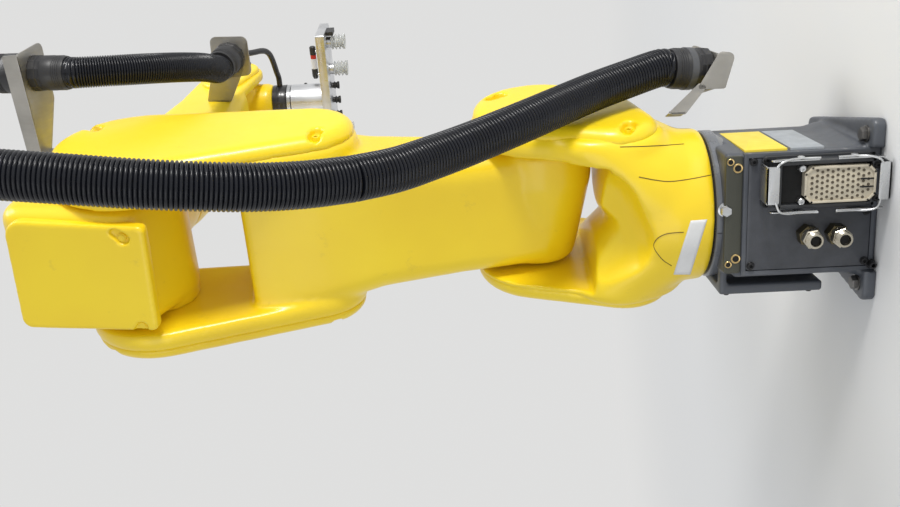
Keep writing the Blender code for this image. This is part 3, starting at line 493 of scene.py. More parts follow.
def through(points, count):
    # points spaced along a smooth line through a few places
    ends = [tuple(2 * a - b for a, b in zip(points[0], points[1]))] + list(points)
    ends.append(tuple(2 * a - b for a, b in zip(points[-1], points[-2])))
    line = []
    for index in range(1, len(ends) - 2):
        for step in range(count):
            t = step / count
            line.append(tuple(0.5 * (2 * b + (c - a) * t + (2 * a - 5 * b + 4 * c - d) * t * t
                                     + (3 * b - a - 3 * c + d) * t ** 3)
                              for a, b, c, d in zip(*ends[index - 1:index + 3])))
    line.append(tuple(points[-1]))
    return line


def socketScrew(name, place, direction, radius, height, finish, washer=0.0):
    stand = pointing(place, direction)
    head = lathe("head", [(-0.002, radius), (height * 0.85, radius), (height, radius * 0.9),
                          (height, radius * 0.55), (height * 0.45, radius * 0.5)], stand, finish, 24)
    # the socket's floor is a near-black disc: painted shade
    hollow = lathe("hollow", [(height * 0.45, radius * 0.5), (height * 0.5, radius * 0.5)], stand, paintedHoleShade, 6)
    parts = [head, hollow]
    if washer:
        parts.append(lathe("washer", [(-0.002, washer), (0.0008, washer), (0.0012, washer * 0.92),
                                      (0.0012, radius * 0.8)], stand, finish, 32))
    return join(name, parts)


def hexBolt(name, place, direction, across, height, washer, finish):
    stand = pointing(place, direction)
    head = lathe("head", [(0.0, across), (height * 0.8, across), (height, across * 0.86)], stand, finish, 6, 20.0)
    ring = lathe("ring", [(-0.002, washer), (0.0012, washer), (0.0016, washer * 0.92)], stand, finish, 36)
    return join(name, [head, ring])


def screwsOn(name, stand, direction, places, *sizes):
    # equal screws that stand along one direction of the stand
    ahead = stand.to_3x3() @ Vector(direction)
    return join(name, [socketScrew("screw", stand @ Vector(place), ahead, *sizes) for place in places])


def bySide(side, first, second):
    return (first, second) if side < 0 else (second, first)


def rideOn(body, slotName, *pieces):
    for piece in pieces:
        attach(piece, body)


# base
base = {"rear": -0.085, "half": 0.0655, "top": 0.137, "ring": 0.080, "ringSide": 0.005,
        "ringLow": 0.146, "ringTop": 0.1605,
        "flange": 0.095, "flangeFront": 0.070, "flangeCorner": 0.009, "flangeThick": 0.013, "hole": 0.078,
        "frontHole": 0.050, "frame": (-0.0655, 0.0615, 0.0030, 0.1370), "padTop": 0.156}
inserts = [(-0.0575, 0.1500, 0.0032), (-0.0510, 0.1425, 0.0043), (0.0500, 0.1500, 0.0032), (0.0440, 0.1425, 0.0043)]


def makeBase():
    corner = base["flangeCorner"]
    flangeCircles = [(way * (base["flange"] - corner), side * (half - corner), corner)
                     for way, half in ((-1, base["flange"]), (1, base["flangeFront"])) for side in (-1, 1)]
    rearCircles = [(base["rear"] + 0.005, side * (base["half"] - 0.005), 0.005) for side in (-1, 1)]
    frontCircles = [(0.036, side * 0.028, 0.040) for side in (-1, 1)]
    flared = [(base["rear"] + 0.009, side * (base["half"] - 0.004), 0.008) for side in (-1, 1)]
    hulls = [slab(flangeCircles, 0.0, base["flangeThick"], 'Z', 0.0, 0.002),
             slab(rearCircles + frontCircles, 0.006, base["top"] + 0.006, 'Z', 0.0, 0.002),
             slab(flared + [(0.038, side * 0.030, 0.042) for side in (-1, 1)], 0.008, 0.020, 'Z')
             + slab(rearCircles + frontCircles, 0.036, 0.037, 'Z'),
             slab(corners(base["rear"] + 0.0005, -0.030, -base["half"], 0.0615, 0.005), 0.120, base["padTop"] - 0.001,
                  'Z', 0.0, 0.003),
             slab([(0.0, 0.0, 0.064)], 0.134, 0.136, 'Z') + slab([(0.0, base["ringSide"], 0.076)], 0.147, 0.158, 'Z')]
    hulls.append(slab(corners(-0.070, 0.030, 0.0775, 0.0885, 0.002), 0.046, 0.154, 'Z', 0.0015, 0.0015))
    hulls.append(slab(corners(-0.045, 0.024, 0.055, 0.0800, 0.002), 0.052, 0.149, 'Z'))
    hulls.append(slab(corners(-0.070, -0.058, 0.055, 0.0800, 0.002), 0.146, 0.154, 'Z'))
    cuts = [slab(corners(-0.110, base["rear"] - 0.0010, -0.0665, 0.0625, 0.0005), -0.010, 0.020, 'Z')]
    for x, half in ((-base["hole"], base["hole"]), (base["hole"], base["frontHole"])):
        for y in (-half, half):
            cuts.append(slab([(x, y, 0.0055)], -0.01, 0.03, 'Z'))
    body = casting("baseCasting", hulls, onBase, greyPaint, cuts, size=0.0018, soften=2, resoften=1, swell=0.0)
    rideOn("base", "grey_paint", body)
    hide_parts("base_casting")
    upZ = moved(0.0, base["ringSide"], 0.0) @ turned('Y', -90.0)   # own X turned up
    ring = lathe("bearingRing", [(base["ringLow"] - 0.012, base["ring"] - 0.010),
                                 (base["ringLow"], base["ring"] - 0.003),
                                 (base["ringLow"] + 0.0020, base["ring"] - 0.0006),
                                 (base["ringLow"] + 0.003, base["ring"]),
                                 (base["ringTop"] - 0.0015, base["ring"]), (base["ringTop"], base["ring"] - 0.0015),
                                 (base["ringTop"], base["ring"] - 0.012)], upZ, ringPaint, 128, 30.0)
    joint = wire("ringJoint", [(-math.cos(0.16) * (base["ring"] + 0.0001), base["ringSide"]
                                + math.sin(0.16) * base["ring"], z) for z in (0.1475, 0.154, 0.1600)],
                 0.0004, seamBlack)
    # the neck between bearing ring and turret is a near-black band: painted shade in the gap
    neck = lathe("neck", [(0.150, base["ring"] - 0.008), (0.1626, base["ring"] - 0.008), (0.1626, 0.010)], upZ,
                 paintedHoleShade, 64)
    rideOn("base", "grey_paint", ring, joint, neck)
    yLow, yHigh, zLow, zHigh = base["frame"]
    rim = 0.0042
    bars = [(yLow, yHigh, zHigh - rim, zHigh), (yLow, yHigh, zLow, zLow + rim),
            (yLow, yLow + rim, zLow + rim - 0.0004, zHigh - rim + 0.0004),
            (yHigh - rim, yHigh, zLow + rim - 0.0004, zHigh - rim + 0.0004)]
    frameRim = solid("panelFrame", [slab(corners(*bar, 0.0004), -0.0886 - 0.0001 * (index // 2), -0.0800, 'X')
                                    for index, bar in enumerate(bars)], onBase, greyPaint, 0.0005)
    # the pad is dark olive: partly its own colour, partly painted shade
    pad = solid("insertPad", [slab(corners(-0.0635, 0.0600, zHigh + 0.0002, base["padTop"] - 0.0015, 0.003), -0.0858,
                                   -0.0800, 'X', 0.0012)], onBase, padPaintWithShade)
    rideOn("base", "grey_paint", frameRim, pad)
    rings = []
    for y, z, radius in inserts:
        stand = pointing((-0.0858, y, z), (-1, 0, 0))
        rings.append(lathe("insert", [(-0.010, radius * 1.15), (0.0006, radius * 1.15), (0.0009, radius * 1.05),
                                      (0.0006, radius * 0.78), (-0.004, radius * 0.72)], stand, brassInsert, 32))
        # each bore is a near-black disc: painted shade in the threaded hole
        rings.append(lathe("bore", [(-0.0002, radius * 0.80), (0.0003, radius * 0.76)], stand, paintedHoleShade, 24))
    rideOn("base", "brass", join("threadInserts", rings))
    bolt = hexBolt("ringBolt", (-0.0790, -0.0070, 0.1530), (-1, 0, 0), 0.0062, 0.0090, 0.0074, zincSteel)
    rideOn("base", "stainless", bolt)
    heads = [hexBolt("head", (x, y, base["flangeThick"]), (0, 0, 1), 0.0075, 0.0070, 0.0088, darkSteel)
             for x, y in ((-base["hole"], -base["hole"]), (-base["hole"], base["hole"]),
                          (base["hole"], -base["frontHole"]), (base["hole"], base["frontHole"]))]
    rideOn("base", "stainless", join("mountingBolts", heads))
    coverScrews = [(x, 0.0883, z) for x in (-0.062, 0.022) for z in (0.058, 0.145)]
    rideOn("base", "black_plastic",
           screwsOn("sideCoverScrews", onBase, (0, 1, 0), coverScrews, 0.0030, 0.0024, blackScrew))


def makePanel():
    plate = solid("connectorPanel", [slab(corners(-0.0604, 0.0564, 0.0082, 0.1322, 0.003), -0.0883, -0.0853, 'X')],
                  onBase, panelCoat, 0.0006)
    # the groove round the plate is a near-black rim: painted shade in the gap
    groove = solid("panelGroove", [slab(corners(-0.0615, 0.0575, 0.0068, 0.1332, 0.001), -0.0866, -0.0850, 'X')],
                   onBase, paintedHoleShade)
    rideOn("base", "dark_coating", plate, groove)
    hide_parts("connector_panel")
    places = [(-0.0572, 0.1278), (0.0515, 0.1278), (-0.0572, 0.0125), (0.0515, 0.0120), (-0.0010, 0.0125)]
    rideOn("base", "black_plastic",
           screwsOn("panelScrews", onBase, (-1, 0, 0), [(-0.0883, y, z) for y, z in places],
                    0.0033, 0.0030, blackScrew, 0.0042))
    earth = socketScrew("earthScrew", (-0.0880, 0.0550, 0.0052), (-1, 0, 0), 0.0038, 0.0095, blackScrew, 0.0048)
    rideOn("base", "stainless", earth)
    for index, height in enumerate((0.0722, 0.0432), start=1):
        stand = pointing((-0.0883, 0.0200, height), (-1, 0, 0), 12.0 * index)
        hexPart = lathe("hex", [(0.0, 0.0112), (0.0115, 0.0112), (0.0126, 0.0098)], stand, agedBrass, 6, 20.0)
        collar = lathe("collar", [(0.0120, 0.0090), (0.0140, 0.0090), (0.0146, 0.0084)], stand, nickelPlate, 40)
        nut = lathe("nut", [(0.0142, 0.0098), (0.0146, 0.0104), (0.0220, 0.0104), (0.0230, 0.0092)],
                    stand @ turned('X', 25.0), nickelPlate, 6, 20.0)
        threads = [(0.0226, 0.0074)]
        for turn in range(4):
            threads += [(0.0232 + 0.0014 * turn, 0.0080), (0.0239 + 0.0014 * turn, 0.0074)]
        lip = lathe("lip", threads + [(0.0292, 0.0079), (0.0300, 0.0073), (0.0300, 0.0056), (0.0262, 0.0048)],
                    stand, nickelPlate, 40)
        # the fitting's bore is a near-black disc: painted shade
        bore = lathe("bore", [(0.0258, 0.0050), (0.0264, 0.0050)], stand, paintedHoleShade, 24)
        fitting = join("airFitting%d" % index, [hexPart, collar, nut, lip, bore])
        rideOn("base", "brass", fitting)
        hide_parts("air_fitting_%d" % index)


connector = {"y": -0.0365, "z": 0.0622, "halfLength": 0.0478, "halfWidth": 0.0240, "depth": 0.022, "wall": 0.0042,
             "insertZ": 0.0500, "insertHalfZ": 0.0345, "insertHalfY": 0.0180}


def chamfered(y, z, halfY, halfZ, cut, radius=0.0008):
    # circles at the eight corners of a rectangle with its corners cut off
    a, b = halfY - radius, halfZ - radius
    return [(y + sy * (a - ca), z + sz * (b - cb), radius) for sy in (-1, 1) for sz in (-1, 1)
            for ca, cb in ((0.0, cut), (cut, 0.0))]


def makeConnector():
    y, z = connector["y"], connector["z"]
    halfY, halfZ, wall = connector["halfWidth"], connector["halfLength"], connector["wall"]
    seat = -0.0886
    front = seat - connector["depth"]
    walls = [(y - halfY, y + halfY, z + halfZ - wall, z + halfZ), (y - halfY, y + halfY, z - halfZ, z - halfZ + wall),
             (y - halfY, y - halfY + wall, z - halfZ, z + halfZ), (y + halfY - wall, y + halfY, z - halfZ, z + halfZ)]
    housing = solid("connectorHousing",
                    [slab(corners(*wallBox, 0.0018), front, seat, 'X', 0.0010) for wallBox in walls]
                    + [slab(corners(y - halfY + 0.002, y + halfY - 0.002, z - halfZ + 0.002, z + halfZ - 0.002, 0.002),
                            seat - 0.0050, seat, 'X'),
                       slab(corners(y - halfY - 0.0025, y + halfY + 0.0025, z - halfZ - 0.0010,
                                    z + halfZ + 0.0100, 0.005),
                            seat - 0.0040, seat, 'X', 0.0010)], onBase, darkCast, 0.0007)
    studs = [socketScrew("stud", (seat - 0.0040, y + side * 0.0225, z + halfZ + 0.0060), (-1, 0, 0), 0.0030, 0.0030,
                         blackScrew) for side in (-1, 1)]
    housing = join("connectorHousing", [housing] + studs)
    rideOn("base", "dark_coating", housing)
    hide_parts("connector_housing")
    middle, insertHalfY, insertHalfZ = connector["insertZ"], connector["insertHalfY"], connector["insertHalfZ"]
    top = front - 0.0035
    parts = [solid("insertBody", [slab(chamfered(y, middle, insertHalfY, insertHalfZ, 0.0062), top + 0.0012,
                                       seat - 0.004, 'X')], onBase, beigePlastic, 0.0005)]
    outline = chamfered(y, middle, insertHalfY, insertHalfZ, 0.0062, 0.0009)
    order = sorted(outline, key=lambda spot: math.atan2((spot[1] - middle) / insertHalfZ, (spot[0] - y) / insertHalfY))
    for first, second in zip(order, order[1:] + order[:1]):
        parts.append(solid("insertRim", [slab([(*first[:2], 0.0011), (*second[:2], 0.0011)], top - 0.0004, top + 0.004,
                                              'X')], onBase, beigePlastic, 0.0003))
    # the floor round the insert is near-black: painted shade in the housing's recess
    parts.append(solid("insertFloor", [slab(corners(y - 0.0195, y + 0.0195, z - 0.0430, z + 0.0430, 0.002),
                                            front + 0.0060, seat - 0.005, 'X')], onBase, paintedHoleShade))
    for row in range(12):
        for column in range(6):
            spotZ = middle + (row - 5.5) * 0.0050
            spotY = y + (column - 2.5) * 0.0054 + (0.0009 if row % 2 else -0.0009)
            if abs(row - 5.5) > 5 and abs(column - 2.5) > 2:
                continue
            stand = pointing((top + 0.0012, spotY, spotZ), (-1, 0, 0))
            parts.append(lathe("contact", [(-0.001, 0.0021), (0.0004, 0.0021), (0.0004, 0.0015)], stand,
                               beigePlastic, 12))
            parts.append(lathe("socket", [(0.0, 0.0016), (0.00055, 0.00155)], stand, socketBrown, 12))
    # the two slots are near-black: painted shade
    for slotY in (-0.0040, 0.0040):
        parts.append(solid("slot", [slab(corners(y + slotY - 0.0006, y + slotY + 0.0006, middle - insertHalfZ + 0.001,
                                                 middle - insertHalfZ + 0.015, 0.0004),
                                         top - 0.0003, top + 0.002, 'X')],
                           onBase, paintedHoleShade))
    # the posts at the lower end are near-black: painted shade
    for side in (-1, 1):
        for end, finish in ((-1, paintedHoleShade), (1, zincSteel)):
            stand = pointing((front + 0.0050, y + side * 0.0165, middle + end * (insertHalfZ + 0.0022)), (-1, 0, 0))
            parts.append(lathe("post", [(0.0, 0.0034), (0.0070, 0.0034), (0.0078, 0.0027), (0.0078, 0.0015),
                                        (0.0060, 0.0012)], stand, finish, 24))
    insert = join("connectorInsert", parts)
    rideOn("base", "beige_plastic", insert)
    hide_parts("connector_insert")


def makeLevers():
    y, z = connector["y"] - 0.0020, connector["z"]
    for end, node in ((-1, "connector_lever_lower"), (1, "connector_lever_upper")):
        near = z + end * (connector["halfLength"] + 0.0007)
        far = near + end * (0.0122 if end > 0 else 0.0112)
        low, high = sorted((near, far))
        farLow, farHigh = sorted((far, far - end * 0.0016))
        plates = [slab(corners(y - 0.0188, y + 0.0188, low, high, 0.0022), -0.1185, -0.1168, 'X'),
                  slab(corners(y - 0.0188, y + 0.0188, farLow, farHigh, 0.0007), -0.1185, -0.0960, 'X')]
        pivot = near - end * 0.0225
        for side in (-1, 1):
            outer = y + 0.0020 + side * 0.0262
            inner = outer - side * 0.0010
            sideLow, sideHigh = sorted((outer, inner))
            plates.append(slab([(-0.1130, near + end * 0.004, 0.0030), (-0.1105, pivot, 0.0048)],
                               sideLow, sideHigh, 'Y'))
            plates.append(slab([(-0.1155, near + end * 0.003, 0.0012), (-0.1145, pivot - end * 0.016, 0.0012)],
                               sideLow, sideHigh, 'Y'))
        parts = [solid("lever", plates, onBase, zincSteel, 0.0005)]
        for side in (-1, 1):
            outer = y + 0.0020 + side * 0.0262
            stand = pointing((-0.1105, outer - side * 0.0005, pivot), (0, side, 0))
            parts.append(lathe("pivot", [(0.0, 0.0036), (0.0026, 0.0036), (0.0032, 0.0028), (0.0032, 0.0012)], stand,
                               zincSteel, 24))
            route = through([(-0.1176, y + side * 0.0172, near + end * 0.0030),
                             (-0.1185, outer - side * 0.0020, near - end * 0.0010),
                             (-0.1170, outer + side * 0.0008, near - end * 0.0100),
                             (-0.1140, outer + side * 0.0010, near - end * 0.0225),
                             (-0.1150, outer + side * 0.0010, near - end * 0.0400)], 8)
            parts.append(wire("bail", route, 0.0012, zincSteel, sides=3))
        lever = join("connectorLever" + ("Lower" if end < 0 else "Upper"), parts)
        rideOn("base", "stainless", lever)
        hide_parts(node)


plates = {"rear": -0.0790, "front": 0.0400, "yellow": (0.0915, 0.1345), "silver": (0.0545, 0.0885)}


def makePlates():
    # two bare plates on the flat flank
    for name, finish, heights in (("barePlateYellow", yellowLabel, plates["yellow"]),
                                  ("barePlateSilver", silverLabel, plates["silver"])):
        plate = solid(name, [slab(corners(plates["rear"], plates["front"], *heights, 0.0010),
                                  -base["half"] - 0.0022, -base["half"] + 0.0040, 'Y')], onBase, finish, 0.0002)
        rideOn("base", "stainless", plate)


makeBase()
makePanel()
makeConnector()
makeLevers()
makePlates()
print("base made")


# turret: pairs are for its left and its right flank
turret = {"start": 0.1630, "radius": 0.0820, "gap": (-0.0665, 0.0850), "webTop": (0.266, 0.281),
          "half": 0.092, "cover": (0.103, 0.108), "boss": (0.050, 0.330, 0.078), "coverBoss": (0.050, 0.330, 0.076),
          "cheekFeet": (((-0.010, 0.252, 0.048), (0.038, 0.260, 0.044)),
                        ((-0.004, 0.232, 0.056), (0.048, 0.228, 0.050))),
          "domes": (((-0.004, 0.278, 0.054), (0.040, 0.292, 0.060)),
                    ((-0.006, 0.250, 0.056), (0.044, 0.252, 0.052))),
          "domeReach": ((-0.0935, -0.080), (0.080, 0.0985)),
          "coverFeet": (((-0.008, 0.258, 0.046), (0.040, 0.268, 0.042)),
                        ((-0.002, 0.244, 0.054), (0.050, 0.242, 0.050))),
          "pockets": (((0.085, 0.372, 0.0065), (0.075, 0.385, 0.0065)),
                      ((-0.028, 0.244, 0.0065), (-0.042, 0.250, 0.0065))),
          "screws": ((0.080, 0.3785), (-0.033, 0.2465))}
turretSeams = {"turretLensSeam": (-0.080, 5, [(0.0145, 0.1950), (0.0144, 0.2007), (0.0154, 0.2130), (0.0202, 0.2222),
                                              (0.0287, 0.2253), (0.0421, 0.2170), (0.0500, 0.2070)]),
               "turretUpperSeam": (-0.075, 8, [(-0.0449, 0.2399), (-0.0409, 0.2236), (-0.0386, 0.2084),
                                               (-0.0401, 0.1881), (-0.0432, 0.1669)]),
               "turretSideSeam": (-0.045, 8, [(-0.0711, 0.2544), (-0.0705, 0.2336), (-0.0704, 0.2108),
                                              (-0.0708, 0.1881)])}


def sideCover(name, node, body, stand, side, inner, face, reach, circles, pockets, screws):
    # a cast cover on one flank, with a painted screw in each pocket
    low, high = sorted((side * inner, side * face))
    slotY = sorted((side * (face - 0.009), side * reach))
    cover = casting(name, [slab(circles, low, high, 'Y', *bySide(side, 0.014, 0.0))], stand, yellowPaint,
                    [slab(pocket, *slotY, 'Y') for pocket in pockets], size=0.0024, soften=8, resoften=3,
                    swell=0.0004)
    rideOn(body, "yellow_paint", cover)
    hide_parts(node)
    places = [(x, side * (face - 0.0085), z) for x, z in screws]
    rideOn(body, "yellow_paint", screwsOn(name.replace("Cover", "CoverScrews"), stand, (0, side, 0), places,
                                          0.0042, 0.004, yellowPaint))


def makeTurret():
    bell = (slab([(0.0, 0.005, turret["radius"])], turret["start"], 0.184, 'Z', 0.0015, 0.0)
            + slab([(0.0, 0.006, 0.0820)], 0.198, 0.200, 'Z')
            + slab([(0.004, 0.014, 0.077), (0.004, 0.002, 0.077)], 0.224, 0.226, 'Z')
            + slab([(0.010, 0.022, 0.056), (0.010, -0.006, 0.056)], 0.246, 0.247, 'Z')
            + slab([(0.012, 0.022, 0.038), (0.012, -0.010, 0.038)], 0.254, 0.255, 'Z'))
    hulls = [bell]
    for end, side in enumerate((-1, 1)):
        low, high = -turret["half"], turret["gap"][0]
        if side > 0:
            low, high = turret["gap"][1] - 0.016, turret["half"] + 0.003
        hulls.append(slab([turret["boss"], *turret["cheekFeet"][end]], low, high, 'Y', *bySide(side, 0.012, 0.004)))
        dome = slab(turret["domes"][end], *turret["domeReach"][end], 'Y', *bySide(side, 0.010, 0.0))
        hulls.append(dome + slab([(0.0, 0.005, 0.0795)], 0.180, 0.194, 'Z'))
    hulls.append(balls((-0.020, 0.050, 0.235, 0.034), (0.060, 0.050, 0.235, 0.030), (-0.012, 0.072, 0.272, 0.012),
                       (0.080, 0.072, 0.272, 0.012)))
    clear = []
    for place, webTop in zip(turret["gap"], turret["webTop"]):
        clear += slab(corners(-0.14, 0.18, webTop, 0.50, 0.010), place, place + 0.0001, 'Y')
    scoop = balls((-0.086, 0.016, 0.274, 0.053), (-0.082, 0.032, 0.292, 0.050), (-0.074, -0.014, 0.292, 0.056))
    body = casting("turretCasting", hulls, onTurret, yellowPaint, [clear, scoop], size=0.0026, soften=24, resoften=6,
                   swell=0.0012)
    rideOn("turret", "yellow_paint", body)
    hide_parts("turret_casting")
    for end, (side, label) in enumerate(((-1, "Left"), (1, "Right"))):
        sideCover("turretCover" + label, "turret_cover_" + label.lower(), "turret", onTurret, side,
                  turret["half"] - 0.004, turret["cover"][end], 0.13, [turret["coverBoss"], *turret["coverFeet"][end]],
                  turret["pockets"], turret["screws"])
    for name, (behind, count, places) in turretSeams.items():
        line = through([(behind, y, z) for y, z in places], count)
        rideOn("turret", "yellow_paint", seam(name, body, line))
    return body


turretCasting = makeTurret()
print("turret made")


# upper arm: pairs are for its left and its right flank
upperArm = {"hubHalf": 0.0615, "hubEnd": 0.0800, "gap": (-0.0635, 0.0835), "forkHalf": (0.097, 0.107),
            "cover": (0.108, 0.118),
            "fork": (((0.0, 0.440, 0.088), (0.0, 0.262, 0.058)), ((-0.010, 0.440, 0.078), (-0.005, 0.262, 0.053))),
            "pockets": (((-0.030, 0.246, 0.0065), (-0.044, 0.250, 0.0065)),
                        ((0.044, 0.484, 0.0065), (0.056, 0.496, 0.0065)),
                        ((-0.047, 0.481, 0.0065), (-0.060, 0.492, 0.0065))),
            "screws": ((-0.036, 0.248), (0.048, 0.488), (-0.050, 0.484))}


def boxRing(halfX, yLow, yHigh, corner, level):
    return slab(corners(-halfX, halfX, yLow, yHigh, corner), level, level + 0.001, 'Z')


def makeUpperArm():
    hulls = [slab([(0.0, 0.0, 0.055)], -upperArm["hubHalf"], -0.020, 'Y', 0.006, 0.0)
             + slab([(0.004, 0.004, 0.042)], 0.020, upperArm["hubEnd"], 'Y', 0.0, 0.006)]
    sections = [(0.0, 0.044, -0.0585, 0.0780, 0.022), (0.100, 0.049, -0.0620, 0.0785, 0.024),
                (0.190, 0.055, -0.0720, 0.0830, 0.028), (0.255, 0.057, -0.0880, 0.0980, 0.030),
                (0.310, 0.056, -0.0940, 0.1060, 0.030), (0.334, 0.052, -0.0920, 0.1040, 0.026)]
    for (lowZ, *lower), (highZ, *higher) in zip(sections, sections[1:]):
        hulls.append(boxRing(*lower, lowZ) + boxRing(*higher, highZ))
    for end, side in enumerate((-1, 1)):
        low, high = sorted((upperArm["gap"][end], side * upperArm["forkHalf"][end]))
        hulls.append(slab(upperArm["fork"][end], low, high, 'Y', *bySide(side, 0.012, 0.003)))
    body = casting("upperArmCasting", hulls, onUpperArm, yellowPaint, size=0.0028, soften=22, resoften=3, swell=0.0010)
    rideOn("upper_arm", "yellow_paint", body)
    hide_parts("upper_arm_casting")
    for end, (side, label) in enumerate(((-1, "Left"), (1, "Right"))):
        face = upperArm["cover"][end]
        sideCover("upperArmCover" + label, "upper_arm_cover_" + label.lower(), "upper_arm", onUpperArm, side,
                  face - 0.015, face, 0.14, [(x, z, radius - 0.002) for x, z, radius in upperArm["fork"][end]],
                  upperArm["pockets"], upperArm["screws"])


makeUpperArm()
print("upper arm made")


# elbow
elbow = {"low": -0.0600, "high": 0.0775, "pin": 0.040, "neck": 0.058, "neckFront": 0.098, "offset": 0.035,
         "coverFace": -0.0915}


def makeElbow():
    profile = [(0.0, 0.0, 0.042), (-0.056, 0.100, 0.028), (0.044, 0.086, 0.042), (-0.058, 0.004, 0.026),
               (0.058, 0.014, 0.028)]
    hulls = [slab(profile, elbow["low"], elbow["high"], 'Y', 0.016, 0.014),
             slab([(0.0, 0.0, elbow["pin"])], elbow["low"] - 0.0028, elbow["high"] + 0.0052, 'Y'),
             slab([(0.0, elbow["offset"], elbow["neck"])], 0.030, elbow["neckFront"] - 0.001, 'X')]
    body = casting("elbowHousing", hulls, onElbow, yellowPaint, size=0.0024, soften=14, resoften=3, swell=0.0008)
    rideOn("elbow", "yellow_paint", body)
    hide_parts("elbow_housing")
    cover = casting("elbowRearCover",
                    [slab([(-0.042, -0.030, 0.007), (0.066, -0.024, 0.007), (-0.034, 0.094, 0.020),
                           (0.062, 0.110, 0.011)], elbow["coverFace"], -0.078, 'X', 0.003, 0.0)], onElbow, yellowPaint,
                    [slab([(-0.036, -0.014, 0.0070), (-0.042, -0.006, 0.0050)], -0.11, -0.0870, 'X'),
                     slab([(0.068, -0.014, 0.0062), (0.074, -0.008, 0.0050)], -0.11, -0.0870, 'X')],
                    size=0.0016, soften=3, resoften=1, swell=0.0)
    rideOn("elbow", "yellow_paint", cover)
    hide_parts("elbow_rear_cover")
    screws = [hexBolt("screw", tuple(onElbow @ Vector((-0.0868, y, z))), tuple(onElbow.to_3x3() @ Vector((-1, 0, 0))),
                      0.0040, 0.0024, 0.0048, yellowPaint) for y, z in ((-0.036, -0.012), (0.067, -0.013))]
    rideOn("elbow", "yellow_paint", join("elbowCoverScrews", screws))


makeElbow()
print("elbow made")


# forearm and wrist
forearm = {"start": 0.0985, "half": 0.048, "end": 0.345, "cheek": 0.040, "cheekHalf": 0.0478,
           "gapHalf": 0.0345}


def makeForearm():
    sections = [(forearm["start"], 0.0575, 0.0575, 0.056), (0.120, 0.0575, 0.0575, 0.050),
                (0.190, 0.052, 0.056, 0.030), (0.240, forearm["half"], 0.052, 0.022),
                (forearm["end"], forearm["half"], 0.041, 0.016)]
    hulls = []
    for (lowX, lowY, lowZ, lowCorner), (highX, highY, highZ, highCorner) in zip(sections, sections[1:]):
        hulls.append(slab(corners(-lowY, lowY, -lowZ, lowZ, lowCorner), lowX, lowX + 0.001, 'X')
                     + slab(corners(-highY, highY, -highZ, highZ, highCorner), highX, highX + 0.001, 'X'))
    for side in (-1, 1):
        low, high = sorted((side * forearm["gapHalf"], side * forearm["cheekHalf"]))
        hulls.append(slab([(armPose["foreLength"], 0.0, forearm["cheek"]), (0.325, 0.0, 0.037)], low, high, 'Y',
                          0.003, 0.003))
    body = casting("forearmCasting", hulls, onForearm, yellowPaint, size=0.0022, soften=10, resoften=2, swell=0.0005)
    rideOn("forearm", "yellow_paint", body)
    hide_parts("forearm_casting")
    for side, label in ((-1, "Left"), (1, "Right")):
        low, high = sorted((side * 0.0465, side * 0.054))
        outline = [(armPose["foreLength"], 0.0, 0.036), (0.375, 0.0, 0.030)]
        cover = casting("wristCover" + label, [slab(outline, low, high, 'Y', *bySide(side, 0.004, 0.0))], onForearm,
                        yellowPaint, size=0.0015, soften=3, swell=0.0)
        rideOn("forearm", "yellow_paint", cover)
        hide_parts("wrist_cover_" + label.lower())
        places = [(x, side * 0.0538, z)
                  for x, z in ((0.444, 0.016), (0.444, -0.016), (0.362, 0.012), (0.362, -0.012))]
        rideOn("forearm", "black_plastic", screwsOn("wristCoverScrews" + label, onForearm, (0, side, 0), places,
                                                    0.0030, 0.0022, blackScrew))


def makeWrist():
    hulls = [slab([(0.0, 0.0, 0.034)], -0.0288, 0.0288, 'Y', 0.005, 0.005),
             slab([(0.0, 0.0, 0.022)], -0.0340, 0.0340, 'Y'),
             slab([(0.0, 0.0, 0.0278)], 0.002, 0.046, 'X') + slab([(0.0, 0.0, 0.025)], 0.0528, 0.0534, 'X')]
    body = casting("wristHousing", hulls, onWrist, yellowPaint, size=0.0016, soften=6, swell=0.0003)
    rideOn("wrist", "yellow_paint", body)
    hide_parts("wrist_housing")
    ring = lathe("wristTape", [(0.0537, 0.0240), (0.0540, 0.0252), (0.0595, 0.0254), (0.0602, 0.0249),
                               (0.0660, 0.0254), (0.0668, 0.0250), (0.0736, 0.0253), (0.0740, 0.0240)],
                 onWrist, tapeBlack, 64)
    rideOn("wrist", "black_plastic", ring)
    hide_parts("wrist_ring")


makeForearm()
makeWrist()
print("forearm and wrist made")


# gripper
gripper = {"plateNear": 0.1283, "plateFar": 0.1403, "halfLength": 0.105, "halfWidth": 0.035,
           "cups": (-0.086, -0.047, 0.047, 0.086), "smallCups": (-0.022, 0.0, 0.022), "ports": (-0.070, -0.036)}


def bellowsCup(name, y, radius, length, folds, finish, stemFinish):
    seat = gripper["plateFar"] + 0.0003
    stand = onWrist @ moved(seat, y, 0.0)
    stem = lathe("stem", [(0.0, radius * 0.55), (0.0, radius * 0.72), (length * 0.20, radius * 0.72)], stand,
                 stemFinish, 32)
    profile = [(length * 0.18, radius * 0.60)]
    pitch = length * 0.82 / folds
    for fold in range(folds):
        start = length * 0.18 + fold * pitch
        profile += [(start + pitch * 0.08, radius * 0.70), (start + pitch * 0.38, radius * 0.94),
                    (start + pitch * 0.50, radius), (start + pitch * 0.62, radius * 0.94),
                    (start + pitch * 0.92, radius * 0.70)]
    profile[-1] = (length * 0.985, radius * 0.98)
    profile += [(length, radius), (length * 0.97, radius * 0.90), (length * 0.80, radius * 0.55),
                (length * 0.50, radius * 0.45)]
    return join(name, [stem, lathe("bellows", profile, stand, finish, 40, 60.0)])


